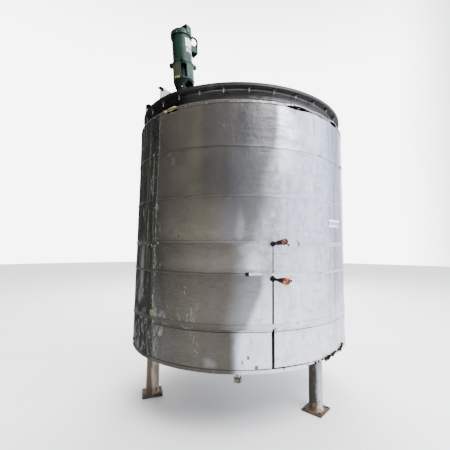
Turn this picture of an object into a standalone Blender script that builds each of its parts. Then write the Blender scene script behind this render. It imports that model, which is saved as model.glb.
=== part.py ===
"""Jacketed mixing tank: an insulated vessel on three pipe legs, with a tilted top-entry mixer.

Metres, +Z up, ground at Z = 0. Azimuths are in degrees from the front (-Y) towards +X. The tank's
axis stands TANK_Y behind the origin, so that the origin is the middle of the floor it covers.
"""

import math

import bmesh
import bpy
from mathutils import Matrix, Vector

# Driving dimensions
GAP = 0.0003
SIDES = 48
FIRST_SIDE = 1.55
TANK_Y = 0.147

CLAD_R = 1.25
CLAD_THICK = 0.0012
CLAD_BOTTOM = 0.582
CLAD_TOP = 2.937
JOINT_HEIGHTS = (2.525, 2.078, 1.660, 1.400, 0.931)
BAND_HEIGHTS = (0.016, 0.016, 0.030, 0.018, 0.020)
BAND_THICK = 0.0012
TRIM_HEIGHT = 0.034

SHELL_R = 1.154
SHELL_WALL = 0.008
TANGENT_Z = 1.020
HEAD_DEPTH = 0.380
JACKET_R = 1.204
JACKET_WALL = 0.006
JACKET_TOP = 2.750
FLANGE_R = 1.233
FLANGE_BOTTOM = 3.099
FLANGE_THICK = 0.0145
COVER_TOP = 3.128

LEG_AZIMUTHS = (-71.0, 49.0, 169.0)
LEG_NAMES = ("left", "right", "rear")
LEG_CIRCLE_R = 1.025
LEG_PIPE_R = 0.0685
LEG_WALL = 0.0066
PLATE_SIZE = 0.213
PLATE_THICK = 0.019

DRAIN_AZIMUTH = -0.7
DRAIN_CIRCLE_R = 1.177
DRAIN_PIPE_R = 0.0212
DRAIN_CAP_R = 0.035
DRAIN_BOTTOM = 0.493
OUTLET_PIPE_R = 0.045
OUTLET_FLANGE_R = 0.090
OUTLET_BOTTOM = 0.400

PROBE_AZIMUTH = 12.8
PROBE_TILT = 3.0
PROBES = {"upper": (1.656, 0.090, 0.300, 0.0245), "lower": (1.355, 0.150, 0.335, 0.0290)}

BEAM_AZIMUTH = 148.0
BEAM_DEPTH = 0.175
BEAM_FLANGE = 0.050
BEAM_STEEL = 0.008
BEAM_OFFSETS = {"front": -0.2885, "rear": -0.7510}
BEAM_END_R = 1.190

MIXER_X = -0.716
MIXER_Y = -0.164
MIXER_TILT = 5.0
BASE_PLATE_LENGTH = 0.360
BASE_PLATE_THICK = 0.018
RISER_R = 0.110
RISER_WALL = 0.010
PEDESTAL_R = 0.127
PEDESTAL_WALL = 0.015
ARCH_R = 0.088
MOTOR_R = 0.1225
FAN_COVER_R = 0.136
SHAFT_R = 0.025
SHAFT_CLEAR = 0.006
IMPELLER_R = 0.240

# Stations along the mixer's axis, from the top of the beams
RISER_TOP = 0.140
SEAL_TOP = 0.330
PEDESTAL_TOP = 0.428
LANTERN_TOP = 0.640
ADAPTER_TOP = 0.665
MOTOR_TOP = 1.030
FAN_COVER_BOTTOM = 1.019
FAN_COVER_TOP = 1.092
HOOD_BOTTOM = 1.045
HOOD_TOP = 1.150
HOOD_LENGTH = 0.279
HOOD_WIDTH = 0.084
HOOD_TURN = 45.0
BOX_BOTTOM = 0.862
BOX_TOP = 0.962
BOX_OUT_R = 0.205
BOX_WIDTH = 0.120
BOX_TURN = 25.0
LEAD_R = 0.010
LEAD_END = 1.066
COUPLING_BOTTOM = 0.450
COUPLING_TOP = 0.600
SHAFT_BOTTOM = -2.000
IMPELLER_MID = -1.940

HATCH_X = 0.480
HATCH_Y = 0.150
HATCH_R = 0.250
HATCH_NECK_R = 0.205
HATCH_NECK_TOP = 3.215


def direction(azimuth):
    """The level direction at an azimuth, from the front towards +X."""
    angle = math.radians(azimuth)
    return Vector((math.sin(angle), -math.cos(angle), 0.0))


def material(name, colour, roughness, metallic):
    """A plain Principled material in the part's colour."""
    made = bpy.data.materials.new(name)
    made.use_nodes = True
    shader = made.node_tree.nodes["Principled BSDF"]
    shader.inputs["Base Color"].default_value = (*colour, 1.0)
    shader.inputs["Roughness"].default_value = roughness
    shader.inputs["Metallic"].default_value = metallic
    return made


def empty(name, parent=None, matrix=None):
    """An empty that others are placed under."""
    made = bpy.data.objects.new(name, None)
    bpy.context.collection.objects.link(made)
    made.parent = parent
    made.matrix_local = matrix or Matrix.Identity(4)
    return made


def add(name, bm, finish, parent, matrix=None):
    """Turn a bmesh into a named object under its parent, round faces smooth."""
    mesh = bpy.data.meshes.new(name)
    bmesh.ops.recalc_face_normals(bm, faces=bm.faces)
    bm.to_mesh(mesh)
    bm.free()
    mesh.shade_smooth()
    mesh.set_sharp_from_angle(angle=math.radians(30.0))
    made = bpy.data.objects.new(name, mesh)
    bpy.context.collection.objects.link(made)
    if finish:
        mesh.materials.append(finish)
    made.parent = parent
    made.matrix_local = matrix or Matrix.Identity(4)
    return made


def turned_mesh(profile, sides=SIDES):
    """Spin a closed outline of (radius, height) points, or one that ends on the axis, about Z.

    The tank's own rings share one count and start, so that the probes stand on a flat side.
    """
    bm = bmesh.new()
    verts = [bm.verts.new((radius, 0.0, height)) for radius, height in profile]
    edges = [bm.edges.new(pair) for pair in zip(verts, verts[1:])]
    if profile[0][0] > 0.0 or profile[-1][0] > 0.0:
        edges.append(bm.edges.new((verts[-1], verts[0])))
    bmesh.ops.spin(bm, geom=verts + edges, cent=(0, 0, 0), axis=(0, 0, 1), dvec=(0, 0, 0),
                   angle=math.tau, steps=sides, use_merge=True)
    bmesh.ops.remove_doubles(bm, verts=bm.verts, dist=1e-6)
    if sides == SIDES:
        bmesh.ops.rotate(bm, verts=bm.verts, matrix=Matrix.Rotation(math.radians(FIRST_SIDE), 3, "Z"))
    return bm


def turned(name, profile, finish, parent, sides=SIDES, matrix=None):
    """A turned object."""
    return add(name, turned_mesh(profile, sides), finish, parent, matrix)


def ring_profile(inner, outer, low, high):
    """The outline of a plain ring."""
    return [(inner, low), (outer, low), (outer, high), (inner, high)]


def rod_profile(radius, low, high):
    """The outline of a plain round bar."""
    return [(0.0, low), (radius, low), (radius, high), (0.0, high)]


def box_mesh(low, high):
    """A box between two corners."""
    bm = bmesh.new()
    bmesh.ops.create_cube(bm, size=1.0)
    size = Vector(high) - Vector(low)
    middle = (Vector(high) + Vector(low)) / 2.0
    bmesh.ops.transform(bm, matrix=Matrix.Translation(middle) @ Matrix.Diagonal((*size, 1.0)),
                        verts=bm.verts)
    return bm


def prism_mesh(outline, low, high):
    """An outline of (x, y) points, counter-clockwise, extruded from low to high."""
    bm = bmesh.new()
    face = bm.faces.new([bm.verts.new((x, y, low)) for x, y in outline])
    moved = bmesh.ops.extrude_face_region(bm, geom=[face])["geom"]
    top = [item for item in moved if isinstance(item, bmesh.types.BMVert)]
    bmesh.ops.translate(bm, vec=(0, 0, high - low), verts=top)
    return bm


def cutter(name, bm, parent, matrix=None):
    """A hidden shape for a Boolean."""
    made = add(name, bm, None, parent, matrix)
    made.hide_render = True
    made.display_type = "WIRE"
    return made


def boolean(target, tool, operation="DIFFERENCE"):
    """Cut, or join, a target with a hidden shape."""
    modifier = target.modifiers.new(tool.name, "BOOLEAN")
    modifier.operation = operation
    modifier.object = tool
    modifier.solver = "EXACT"


def make_vessel(tank, steel):
    """The vessel's wall and dished bottom, and the jacket round the wall."""
    turned("vessel_shell", ring_profile(SHELL_R - SHELL_WALL, SHELL_R, TANGENT_Z + GAP,
                                        FLANGE_BOTTOM + FLANGE_THICK), steel, tank)
    turned("bottom_head", head_profile(0.0, SHELL_WALL), steel, tank)
    inner = SHELL_R + GAP
    low, high = TANGENT_Z + 0.010, JACKET_TOP
    jacket = [(inner, low), (JACKET_R, low), (JACKET_R, high), (inner, high),
              (inner, high - JACKET_WALL), (JACKET_R - JACKET_WALL, high - JACKET_WALL),
              (JACKET_R - JACKET_WALL, low + JACKET_WALL), (inner, low + JACKET_WALL)]
    turned("jacket", jacket, steel, tank)


def head_profile(outward, wall, steps=5):
    """The dished bottom: half an ellipse outside, moved outward, and one a wall thickness inside."""
    def arc(radius, depth):
        turns = [math.pi / 2 * step / steps for step in range(steps + 1)]
        return [(radius * math.sin(turn), TANGENT_Z - depth * math.cos(turn)) for turn in turns]
    outer = arc(SHELL_R + outward, HEAD_DEPTH + outward)
    inner = arc(SHELL_R - wall, HEAD_DEPTH - wall)
    return outer + inner[::-1]


def make_cladding(tank, metal, wool):
    """The insulation, six courses of sheet on it, their hoop bands, and the closing pieces."""
    inner = CLAD_R - CLAD_THICK
    turned("insulation", ring_profile(JACKET_R + GAP, inner - GAP, CLAD_BOTTOM + 0.0163,
                                      CLAD_TOP - 0.002), wool, tank)
    edges = (CLAD_TOP, *JOINT_HEIGHTS, CLAD_BOTTOM)
    for number, (high, low) in enumerate(zip(edges, edges[1:]), start=1):
        turned(f"cladding_course_{number}", ring_profile(inner, CLAD_R, low + GAP, high), metal, tank)
    for number, (middle, height) in enumerate(zip(JOINT_HEIGHTS, BAND_HEIGHTS), start=1):
        band = ring_profile(CLAD_R + GAP, CLAD_R + GAP + BAND_THICK,
                            middle - height / 2, middle + height / 2)
        turned(f"hoop_band_{number}", band, metal, tank)
    trim = ring_profile(CLAD_R + GAP, CLAD_R + GAP + BAND_THICK, CLAD_BOTTOM + GAP,
                        CLAD_BOTTOM + TRIM_HEIGHT)
    turned("bottom_trim_ring", trim, metal, tank)
    foot = CLAD_TOP + GAP
    flashing = [(CLAD_R, foot), (CLAD_R, foot + 0.005), (1.2110, 2.9912), (SHELL_R + GAP, 2.9912),
                (SHELL_R + GAP, 2.9900), (1.2105, 2.9900), (inner, foot + 0.0035), (inner, foot)]
    turned("top_flashing", flashing, metal, tank)
    closing = turned("bottom_closing_sheet", rod_profile(inner - GAP, CLAD_BOTTOM + 0.014,
                                                         CLAD_BOTTOM + 0.016), metal, tank)
    for name, azimuth in zip(LEG_NAMES, LEG_AZIMUTHS):
        hole = turned_mesh(rod_profile(LEG_PIPE_R + 0.002, CLAD_BOTTOM - 0.05, CLAD_BOTTOM + 0.05), 24)
        place = Matrix.Translation(direction(azimuth) * LEG_CIRCLE_R)
        boolean(closing, cutter(f"cut_{name}_leg_hole", hole, tank, place))
    for name, place, radius in (("drain", direction(DRAIN_AZIMUTH) * DRAIN_CIRCLE_R, DRAIN_PIPE_R),
                                ("outlet", Vector(), OUTLET_PIPE_R)):
        hole = turned_mesh(rod_profile(radius + 0.002, CLAD_BOTTOM - 0.05, CLAD_BOTTOM + 0.05), 24)
        boolean(closing, cutter(f"cut_{name}_hole", hole, tank, Matrix.Translation(place)))


def make_top(tank, steel, dark):
    """The body flange and the flat cover bolted on it, with a bolted hatch."""
    turned("body_flange", ring_profile(SHELL_R + GAP, FLANGE_R, FLANGE_BOTTOM,
                                       FLANGE_BOTTOM + FLANGE_THICK), dark, tank)
    cover = turned("cover_plate", rod_profile(FLANGE_R, FLANGE_BOTTOM + FLANGE_THICK + GAP, COVER_TOP),
                   dark, tank)
    shaft_hole = turned_mesh(rod_profile(RISER_R - RISER_WALL, COVER_TOP - 0.1, COVER_TOP + 0.1), 32)
    at = Matrix.Translation((MIXER_X, MIXER_Y, 0.0))
    boolean(cover, cutter("cut_shaft_hole", shaft_hole, tank, at))
    at = Matrix.Translation((HATCH_X, HATCH_Y, 0.0))
    neck = ring_profile(HATCH_NECK_R - 0.008, HATCH_NECK_R, COVER_TOP + GAP, HATCH_NECK_TOP)
    turned("hatch_neck", neck, steel, tank, 40, at)
    lid = rod_profile(HATCH_R, HATCH_NECK_TOP + GAP, HATCH_NECK_TOP + 0.016)
    turned("hatch_lid", lid, steel, tank, 40, at)


def make_leg(tank, name, azimuth, steel):
    """A pipe leg cut to the dished bottom, welded on a square base plate that faces the tank's axis."""
    outward = direction(azimuth)
    frame = Matrix.Translation(outward * LEG_CIRCLE_R) @ Matrix.Rotation(
        math.atan2(outward.y, outward.x), 4, "Z")
    half = PLATE_SIZE / 2
    leg = add(f"{name}_leg", box_mesh((-half, -half, 0.0), (half, half, PLATE_THICK)), steel, tank, frame)
    pipe = turned_mesh(ring_profile(LEG_PIPE_R - LEG_WALL, LEG_PIPE_R, PLATE_THICK / 2,
                                    TANGENT_Z - 0.02), 24)
    boolean(leg, cutter(f"join_{name}_leg_pipe", pipe, tank, frame), "UNION")
    bowl = turned_mesh(head_cut_profile())
    boolean(leg, cutter(f"cut_{name}_leg_top", bowl, tank))


def head_cut_profile(steps=5):
    """The dished bottom grown by the gap and filled up to above the legs."""
    outer = head_profile(GAP, SHELL_WALL, steps)[:steps + 1]
    return outer + [(SHELL_R + GAP, TANGENT_Z + 0.3), (0.0, TANGENT_Z + 0.3)]


def make_nozzles(tank, steel):
    """The jacket's drain at the front edge and the vessel's outlet in the middle."""
    jacket_foot = TANGENT_Z + 0.010
    drain = [(0.0, DRAIN_BOTTOM), (DRAIN_CAP_R, DRAIN_BOTTOM), (DRAIN_CAP_R, DRAIN_BOTTOM + 0.037),
             (DRAIN_PIPE_R, DRAIN_BOTTOM + 0.037), (DRAIN_PIPE_R, jacket_foot - GAP),
             (0.0, jacket_foot - GAP)]
    at = Matrix.Translation(direction(DRAIN_AZIMUTH) * DRAIN_CIRCLE_R)
    turned("jacket_drain", drain, steel, tank, 24, at)
    head_foot = TANGENT_Z - HEAD_DEPTH - GAP
    outlet = [(0.0, OUTLET_BOTTOM), (OUTLET_FLANGE_R, OUTLET_BOTTOM),
              (OUTLET_FLANGE_R, OUTLET_BOTTOM + 0.018), (OUTLET_PIPE_R, OUTLET_BOTTOM + 0.018),
              (OUTLET_PIPE_R, head_foot), (0.0, head_foot)]
    turned("bottom_outlet", outlet, steel, tank, 24)


def make_probe(tank, name, height, neck_end, length, radius, dark, copper):
    """A probe that stands out from the cladding: a nut, a thin neck and a head that flares to its face."""
    outward = direction(PROBE_AZIMUTH)
    surface = CLAD_R + (GAP + BAND_THICK if name == "upper" else 0.0)
    start = surface * math.cos(math.pi / SIDES) + GAP
    side = Vector((0, 0, 1)).cross(outward)
    slope = math.tan(math.radians(PROBE_TILT))
    frame = Matrix((
        (side.x, 0.0, outward.x, outward.x * start),
        (side.y, 0.0, outward.y, outward.y * start),
        (0.0, 1.0, slope, height),
        (0.0, 0.0, 0.0, 1.0)))
    neck = [(0.0, 0.0), (0.023, 0.0), (0.023, 0.030), (0.019, 0.036), (0.011, 0.038),
            (0.011, neck_end), (0.0, neck_end)]
    flare = [(0.0, neck_end + GAP), (0.014, neck_end + GAP), (0.017, neck_end + 0.030),
             (radius, length - 0.030), (radius, length - 0.006), (radius - 0.004, length), (0.0, length)]
    for part, profile, finish in (("neck", neck, dark), ("head", flare, copper)):
        bm = turned_mesh(profile, 16)
        bmesh.ops.transform(bm, matrix=frame, verts=bm.verts)
        add(f"{name}_probe_{part}", bm, finish, tank)


def make_beams(tank, steel):
    """Two channels across the cover, toes facing each other, that carry the mixer."""
    along = direction(BEAM_AZIMUTH)
    across = direction(BEAM_AZIMUTH - 90.0)
    for name, toes in (("front", -1.0), ("rear", 1.0)):
        offset = BEAM_OFFSETS[name]
        half = math.sqrt(BEAM_END_R ** 2 - offset ** 2)
        section = [(0, 0), (BEAM_FLANGE, 0), (BEAM_FLANGE, 0.007), (BEAM_STEEL, 0.010),
                   (BEAM_STEEL, BEAM_DEPTH - 0.010), (BEAM_FLANGE, BEAM_DEPTH - 0.007),
                   (BEAM_FLANGE, BEAM_DEPTH), (0, BEAM_DEPTH)]
        bm = prism_mesh(section, -half, half)
        side = across * toes
        frame = Matrix((
            (side.x, 0.0, along.x, across.x * offset),
            (side.y, 0.0, along.y, across.y * offset),
            (0.0, 1.0, 0.0, COVER_TOP + GAP),
            (0.0, 0.0, 0.0, 1.0)))
        add(f"{name}_bridge_channel", bm, steel, tank, frame)


def mixer_frame(base):
    """The mixer's frame: Z up its tilted shaft, X the way it leans, which is outward."""
    outward = Vector((base.x, base.y, 0.0)).normalized()
    tilt = math.radians(MIXER_TILT)
    lean = outward * math.cos(tilt) - Vector((0, 0, math.sin(tilt)))
    axis = outward * math.sin(tilt) + Vector((0, 0, math.cos(tilt)))
    side = axis.cross(lean)
    return Matrix((
        (lean.x, side.x, axis.x, base.x),
        (lean.y, side.y, axis.y, base.y),
        (lean.z, side.z, axis.z, base.z),
        (0.0, 0.0, 0.0, 1.0)))


def make_mixer_mount(tank, mixer, steel, green):
    """The base plate on the beams, the riser through it, the seal housing and arched pedestal."""
    along = direction(BEAM_AZIMUTH)
    across = direction(BEAM_AZIMUTH - 90.0)
    low = COVER_TOP + BEAM_DEPTH + 2 * GAP
    reach = (BEAM_OFFSETS["front"] - BEAM_OFFSETS["rear"]) / 2
    middle = across * (BEAM_OFFSETS["front"] + BEAM_OFFSETS["rear"]) / 2 + \
        along * along.dot(Vector((MIXER_X, MIXER_Y, 0.0)))
    frame = Matrix.Translation(middle) @ Matrix.Rotation(math.atan2(along.y, along.x), 4, "Z")
    plate = add("mixer_base_plate", box_mesh((-BASE_PLATE_LENGTH / 2, -reach, low),
                                             (BASE_PLATE_LENGTH / 2, reach, low + BASE_PLATE_THICK)),
                steel, tank, frame)
    hole = turned_mesh(rod_profile(RISER_R + GAP, -0.1, 0.1), 32)
    boolean(plate, cutter("cut_riser_hole", hole, mixer))

    tilt = math.radians(MIXER_TILT)
    foot = -BEAM_DEPTH / math.cos(tilt)
    riser = [(RISER_R - RISER_WALL, foot), (RISER_R, foot), (RISER_R, RISER_TOP - 0.020),
             (0.140, RISER_TOP - 0.020), (0.140, RISER_TOP), (SHAFT_R + SHAFT_CLEAR, RISER_TOP),
             (SHAFT_R + SHAFT_CLEAR, RISER_TOP - 0.020), (RISER_R - RISER_WALL, RISER_TOP - 0.020)]
    bm = turned_mesh(riser, 32)
    for vert in bm.verts:
        if vert.co.z < foot + 1e-6:
            vert.co.z += vert.co.x * math.tan(tilt) + GAP
    add("mixer_riser", bm, steel, mixer)

    bore = SHAFT_R + SHAFT_CLEAR
    seal = [(bore, RISER_TOP + GAP), (0.075, RISER_TOP + GAP), (0.075, RISER_TOP + 0.020),
            (0.056, RISER_TOP + 0.020), (0.056, SEAL_TOP - 0.030), (0.064, SEAL_TOP - 0.030),
            (0.064, SEAL_TOP), (bore, SEAL_TOP)]
    turned("seal_housing", seal, steel, mixer, 24)

    pedestal = turned("arched_pedestal", ring_profile(PEDESTAL_R - PEDESTAL_WALL, PEDESTAL_R,
                                                      RISER_TOP + GAP, PEDESTAL_TOP), green, mixer, 36)
    sill = RISER_TOP + 0.050
    crown = PEDESTAL_TOP - 0.023
    turns = [math.pi * step / 10 for step in range(11)]
    arch = [(-ARCH_R, sill), (ARCH_R, sill)] + \
        [(ARCH_R * math.cos(turn), crown - ARCH_R + ARCH_R * math.sin(turn)) for turn in turns]
    for number, turn in enumerate((0.0, 120.0, 240.0), start=1):
        stand = Matrix.Rotation(math.radians(turn), 4, "Z") @ Matrix((
            (0.0, 0.0, 1.0, 0.0), (1.0, 0.0, 0.0, 0.0), (0.0, 1.0, 0.0, 0.0), (0.0, 0.0, 0.0, 1.0)))
        boolean(pedestal, cutter(f"cut_arch_{number}", prism_mesh(arch, 0.01, 0.2), mixer, stand))


def make_lantern(mixer, green):
    """The coupling lantern with its two windows, and the four-eared adapter under the motor."""
    low = PEDESTAL_TOP + GAP
    lantern = [(0.115, low), (0.135, low), (0.135, low + 0.012), (0.132, low + 0.016),
               (0.132, LANTERN_TOP - 0.016), (0.135, LANTERN_TOP - 0.012), (0.135, LANTERN_TOP),
               (0.115, LANTERN_TOP)]
    made = turned("coupling_lantern", lantern, green, mixer, 36)
    window = box_mesh((-0.038, -0.2, low + 0.009), (0.038, 0.2, LANTERN_TOP - 0.020))
    boolean(made, cutter("cut_lantern_windows", window, mixer))

    low = LANTERN_TOP + GAP
    adapter = turned("motor_adapter", ring_profile(0.060, 0.140, low, ADAPTER_TOP), green, mixer, 36)
    for number in range(4):
        ear = box_mesh((0.100, -0.028, low - 0.0), (0.172, 0.028, ADAPTER_TOP))
        turn = Matrix.Rotation(math.radians(90.0 * number), 4, "Z")
        boolean(adapter, cutter(f"join_ear_{number + 1}", ear, mixer, turn), "UNION")


def make_motor(mixer, green, dark):
    """The motor, its fan cover, its folded rain hood, the conduit box and the lead between them."""
    motor = [(0.0, ADAPTER_TOP + GAP), (MOTOR_R + 0.006, ADAPTER_TOP + GAP),
             (MOTOR_R + 0.006, ADAPTER_TOP + 0.025), (MOTOR_R, ADAPTER_TOP + 0.030),
             (MOTOR_R, MOTOR_TOP), (0.0, MOTOR_TOP)]
    turned("motor", motor, green, mixer, 36)
    inner = MOTOR_R + GAP
    cover = [(inner, FAN_COVER_BOTTOM), (FAN_COVER_R, FAN_COVER_BOTTOM),
             (FAN_COVER_R, FAN_COVER_TOP - 0.014), (FAN_COVER_R - 0.012, FAN_COVER_TOP),
             (0.0, FAN_COVER_TOP), (0.0, FAN_COVER_TOP - 0.004), (FAN_COVER_R - 0.015, FAN_COVER_TOP - 0.004),
             (inner, FAN_COVER_TOP - 0.016)]
    cover = cover[5:] + cover[:5]
    turned("fan_cover", cover, green, mixer, 36)

    make_hood(mixer, green)
    inner, half = MOTOR_R + 2 * GAP, BOX_WIDTH / 2
    turn = Matrix.Rotation(math.radians(BOX_TURN), 4, "Z")
    box = box_mesh((-BOX_OUT_R, -half, BOX_BOTTOM), (-inner, half, BOX_TOP))
    add("conduit_box", box, green, mixer, turn)
    make_lead(mixer, BOX_TOP + 2 * GAP, dark)


def make_hood(mixer, green):
    """The rain hood: a strip over the fan cover, with short skirts and a long plate down at each end."""
    half, wide, sheet, skirt = HOOD_LENGTH / 2, HOOD_WIDTH / 2, 0.003, 0.012
    turn = Matrix.Rotation(math.radians(HOOD_TURN), 4, "Z")
    hood = add("rain_hood", box_mesh((-wide, -half, HOOD_BOTTOM), (wide, half, HOOD_TOP)), green, mixer, turn)
    inside = box_mesh((-wide + sheet, -half + sheet, HOOD_BOTTOM - 0.1),
                      (wide - sheet, half - sheet, HOOD_TOP - sheet))
    boolean(hood, cutter("cut_hood_inside", inside, mixer, turn))
    below = box_mesh((-0.2, -half + 0.006, HOOD_BOTTOM - 0.1), (0.2, half - 0.006, HOOD_TOP - skirt))
    boolean(hood, cutter("cut_hood_skirts", below, mixer, turn))


def make_lead(mixer, start_z, dark):
    """The motor lead: up out of the box's top, in a bow, and into the fan cover."""
    curve = bpy.data.curves.new("motor_lead", "CURVE")
    curve.dimensions = "3D"
    curve.bevel_depth = LEAD_R
    curve.bevel_resolution = 2
    curve.use_fill_caps = True
    spline = curve.splines.new("POLY")
    points = lead_route(start_z)
    spline.points.add(len(points) - 1)
    for point, place in zip(spline.points, points):
        point.co = (*place, 1.0)
    made = bpy.data.objects.new("motor_lead", curve)
    bpy.context.collection.objects.link(made)
    curve.materials.append(dark)
    made.parent = mixer


def lead_route(start_z, steps=12):
    """The lead's middle line, in the mixer's frame, with a short straight run at each end."""
    foot = Vector((-0.193, -0.036, start_z))
    start = foot + Vector((0.0, 0.0, 0.005))
    out, over = Vector((-0.212, -0.036, start_z + 0.042)), Vector((-0.215, -0.020, LEAD_END))
    head = Vector((-FAN_COVER_R - 2 * GAP, -0.006, LEAD_END))
    end = head - Vector((0.004, 0.0, 0.0))
    bow = []
    for step in range(steps + 1):
        t = step / steps
        left = 1 - t
        bow.append(start * left ** 3 + out * 3 * t * left ** 2 + over * 3 * t ** 2 * left + end * t ** 3)
    return [foot] + bow + [head]


def make_agitator(agitator, steel):
    """What turns: the coupling under the motor, the long shaft and the pitched-blade impeller."""
    coupling = [(0.0, COUPLING_BOTTOM), (0.048, COUPLING_BOTTOM), (0.048, 0.518), (0.043, 0.521),
                (0.043, 0.529), (0.048, 0.532), (0.048, COUPLING_TOP), (0.021, COUPLING_TOP),
                (0.021, ADAPTER_TOP), (0.0, ADAPTER_TOP)]
    turned("shaft_coupling", coupling, steel, agitator, 24)
    shaft = rod_profile(SHAFT_R, SHAFT_BOTTOM, COUPLING_BOTTOM - GAP)
    turned("agitator_shaft", shaft, steel, agitator, 20)
    hub = turned("impeller", ring_profile(SHAFT_R + GAP, 0.048, IMPELLER_MID - 0.045,
                                          IMPELLER_MID + 0.045), steel, agitator, 20)
    for number in range(4):
        blade = box_mesh((0.040, -0.045, -0.004), (IMPELLER_R, 0.045, 0.004))
        place = Matrix.Rotation(math.radians(90.0 * number), 4, "Z") @ \
            Matrix.Translation((0, 0, IMPELLER_MID)) @ Matrix.Rotation(math.radians(40.0), 4, "X")
        boolean(hub, cutter(f"join_blade_{number + 1}", blade, agitator, place), "UNION")


def main():
    """Build the whole tank."""
    for made in list(bpy.data.objects):
        bpy.data.objects.remove(made, do_unlink=True)
    cladding = material("dull_cladding_sheet", (0.56, 0.57, 0.60), 0.42, 0.85)
    wool = material("insulation_wool", (0.62, 0.55, 0.25), 0.95, 0.0)
    vessel = material("vessel_steel", (0.36, 0.36, 0.37), 0.50, 0.80)
    dark = material("dark_flange_steel", (0.07, 0.07, 0.07), 0.60, 0.50)
    leg_steel = material("grey_leg_steel", (0.42, 0.40, 0.37), 0.60, 0.50)
    beam_steel = material("galvanised_channel", (0.60, 0.60, 0.61), 0.55, 0.60)
    green = material("green_machine_paint", (0.07, 0.17, 0.15), 0.45, 0.0)
    copper = material("copper_probe_head", (0.45, 0.16, 0.06), 0.45, 0.40)
    black = material("black_rubber", (0.02, 0.02, 0.02), 0.60, 0.0)

    tank = empty("tank_axis", matrix=Matrix.Translation((0.0, TANK_Y, 0.0)))
    make_vessel(tank, vessel)
    make_cladding(tank, cladding, wool)
    make_top(tank, vessel, dark)
    for name, azimuth in zip(LEG_NAMES, LEG_AZIMUTHS):
        make_leg(tank, name, azimuth, leg_steel)
    make_nozzles(tank, vessel)
    for name, sizes in PROBES.items():
        make_probe(tank, name, *sizes, black, copper)
    make_beams(tank, beam_steel)

    base = Vector((MIXER_X, MIXER_Y, COVER_TOP + BEAM_DEPTH))
    mixer = empty("mixer_axis", tank, mixer_frame(base))
    make_mixer_mount(tank, mixer, vessel, green)
    make_lantern(mixer, green)
    make_motor(mixer, green, black)
    agitator = empty("agitator_axis", tank, mixer_frame(base))
    make_agitator(agitator, vessel)


main()
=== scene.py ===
"""Looks of the jacketed mixing tank: detailed pieces, materials, light and camera."""
import math
import random

import bmesh
import bpy
from mathutils import Matrix, Vector, noise


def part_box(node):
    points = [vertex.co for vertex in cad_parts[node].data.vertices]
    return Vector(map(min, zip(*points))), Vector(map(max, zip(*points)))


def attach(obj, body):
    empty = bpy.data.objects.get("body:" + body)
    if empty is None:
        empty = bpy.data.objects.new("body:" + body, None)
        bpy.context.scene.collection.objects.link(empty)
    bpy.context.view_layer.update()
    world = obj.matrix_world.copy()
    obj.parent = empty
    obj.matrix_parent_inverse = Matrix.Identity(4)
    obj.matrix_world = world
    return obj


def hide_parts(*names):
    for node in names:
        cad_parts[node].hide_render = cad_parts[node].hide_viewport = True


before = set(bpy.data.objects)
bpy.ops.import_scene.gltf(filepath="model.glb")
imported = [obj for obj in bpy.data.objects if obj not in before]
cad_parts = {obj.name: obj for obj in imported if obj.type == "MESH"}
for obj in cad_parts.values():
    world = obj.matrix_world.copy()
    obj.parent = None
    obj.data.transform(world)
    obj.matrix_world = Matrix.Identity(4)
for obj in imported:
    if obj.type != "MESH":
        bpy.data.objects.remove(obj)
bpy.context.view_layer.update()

# The tank's sizes in metres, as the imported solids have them. Azimuths are degrees from its front.
# The sheets lap at LAP_AZ above the third joint, and stand open at GAP_AZ below it.
TANK_Y = 0.147
CLAD_R = 1.25
CLAD_TOP = 2.937
CLAD_BOTTOM = 0.582
JOINTS = (2.525, 2.078, 1.66, 1.4, 0.931)
SHELL_R = 1.154
FLANGE_R = 1.233
FLANGE_LOW = 3.099
COVER_LOW = 3.1138
COVER_TOP = 3.128
BEAM_AZ = 148.0
MIXER_BASE = Vector((-0.716, -0.164 + TANK_Y, 3.303))
MIXER_TILT = math.radians(5.0)
LEGS = {"left_leg": -71.0, "right_leg": 49.0, "rear_leg": 169.0}
LEG_CIRCLE = 1.025
LEG_R = 0.0685
PLATE = 0.213
SHAFT_HOLE_R = 0.1
PROBE_AZ = 12.8
LAP_AZ = -41.0
GAP_AZ = 13.0
TAU = math.tau
UP = Vector((0.0, 0.0, 1.0))


def outward(az):
    """The level direction at an azimuth."""
    turn = math.radians(az)
    return Vector((math.sin(turn), -math.cos(turn), 0.0))


def around(az, z, r):
    """The point at an azimuth, a height and a distance from the tank's axis."""
    turn = math.radians(az)
    return Vector((r * math.sin(turn), TANK_Y - r * math.cos(turn), z))


def wander(x, y=0.0, seed=0.0):
    """Smooth noise from about -1 to 1."""
    return noise.noise(Vector((x, y, seed * 7.31 + 0.37)))


def ease(x, low, high):
    """0 below low, 1 above high, smooth between."""
    t = min(1.0, max(0.0, (x - low) / (high - low)))
    return t * t * (3.0 - 2.0 * t)


def hump(x, middle, width):
    """A smooth hump, 1 in the middle and 0 beyond the width on either side."""
    t = abs(x - middle) / width
    return 0.0 if t >= 1.0 else (1.0 - t * t) ** 2


def wrapped(az):
    """An azimuth between -180 and 180."""
    return (az + 180.0) % 360.0 - 180.0


def shift(x, y, z):
    return Matrix.Translation((x, y, z))


def roll(degrees, axis):
    return Matrix.Rotation(math.radians(degrees), 4, axis)


def on_axes(x, y, z, origin):
    """A place from the directions of its axes and its origin."""
    return Matrix([*zip(x, y, z, origin), (0.0, 0.0, 0.0, 1.0)])


def facing(point, direction, spin=0.0):
    """A place whose Z points along a direction."""
    turn = Vector(direction).to_track_quat("Z", "Y").to_matrix().to_4x4()
    return Matrix.Translation(point) @ turn @ Matrix.Rotation(spin, 4, "Z")


def on_tank(az, z, r, spin=0.0):
    """A place on the tank whose Z points outward."""
    return facing(around(az, z, r), outward(az), spin)


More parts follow.
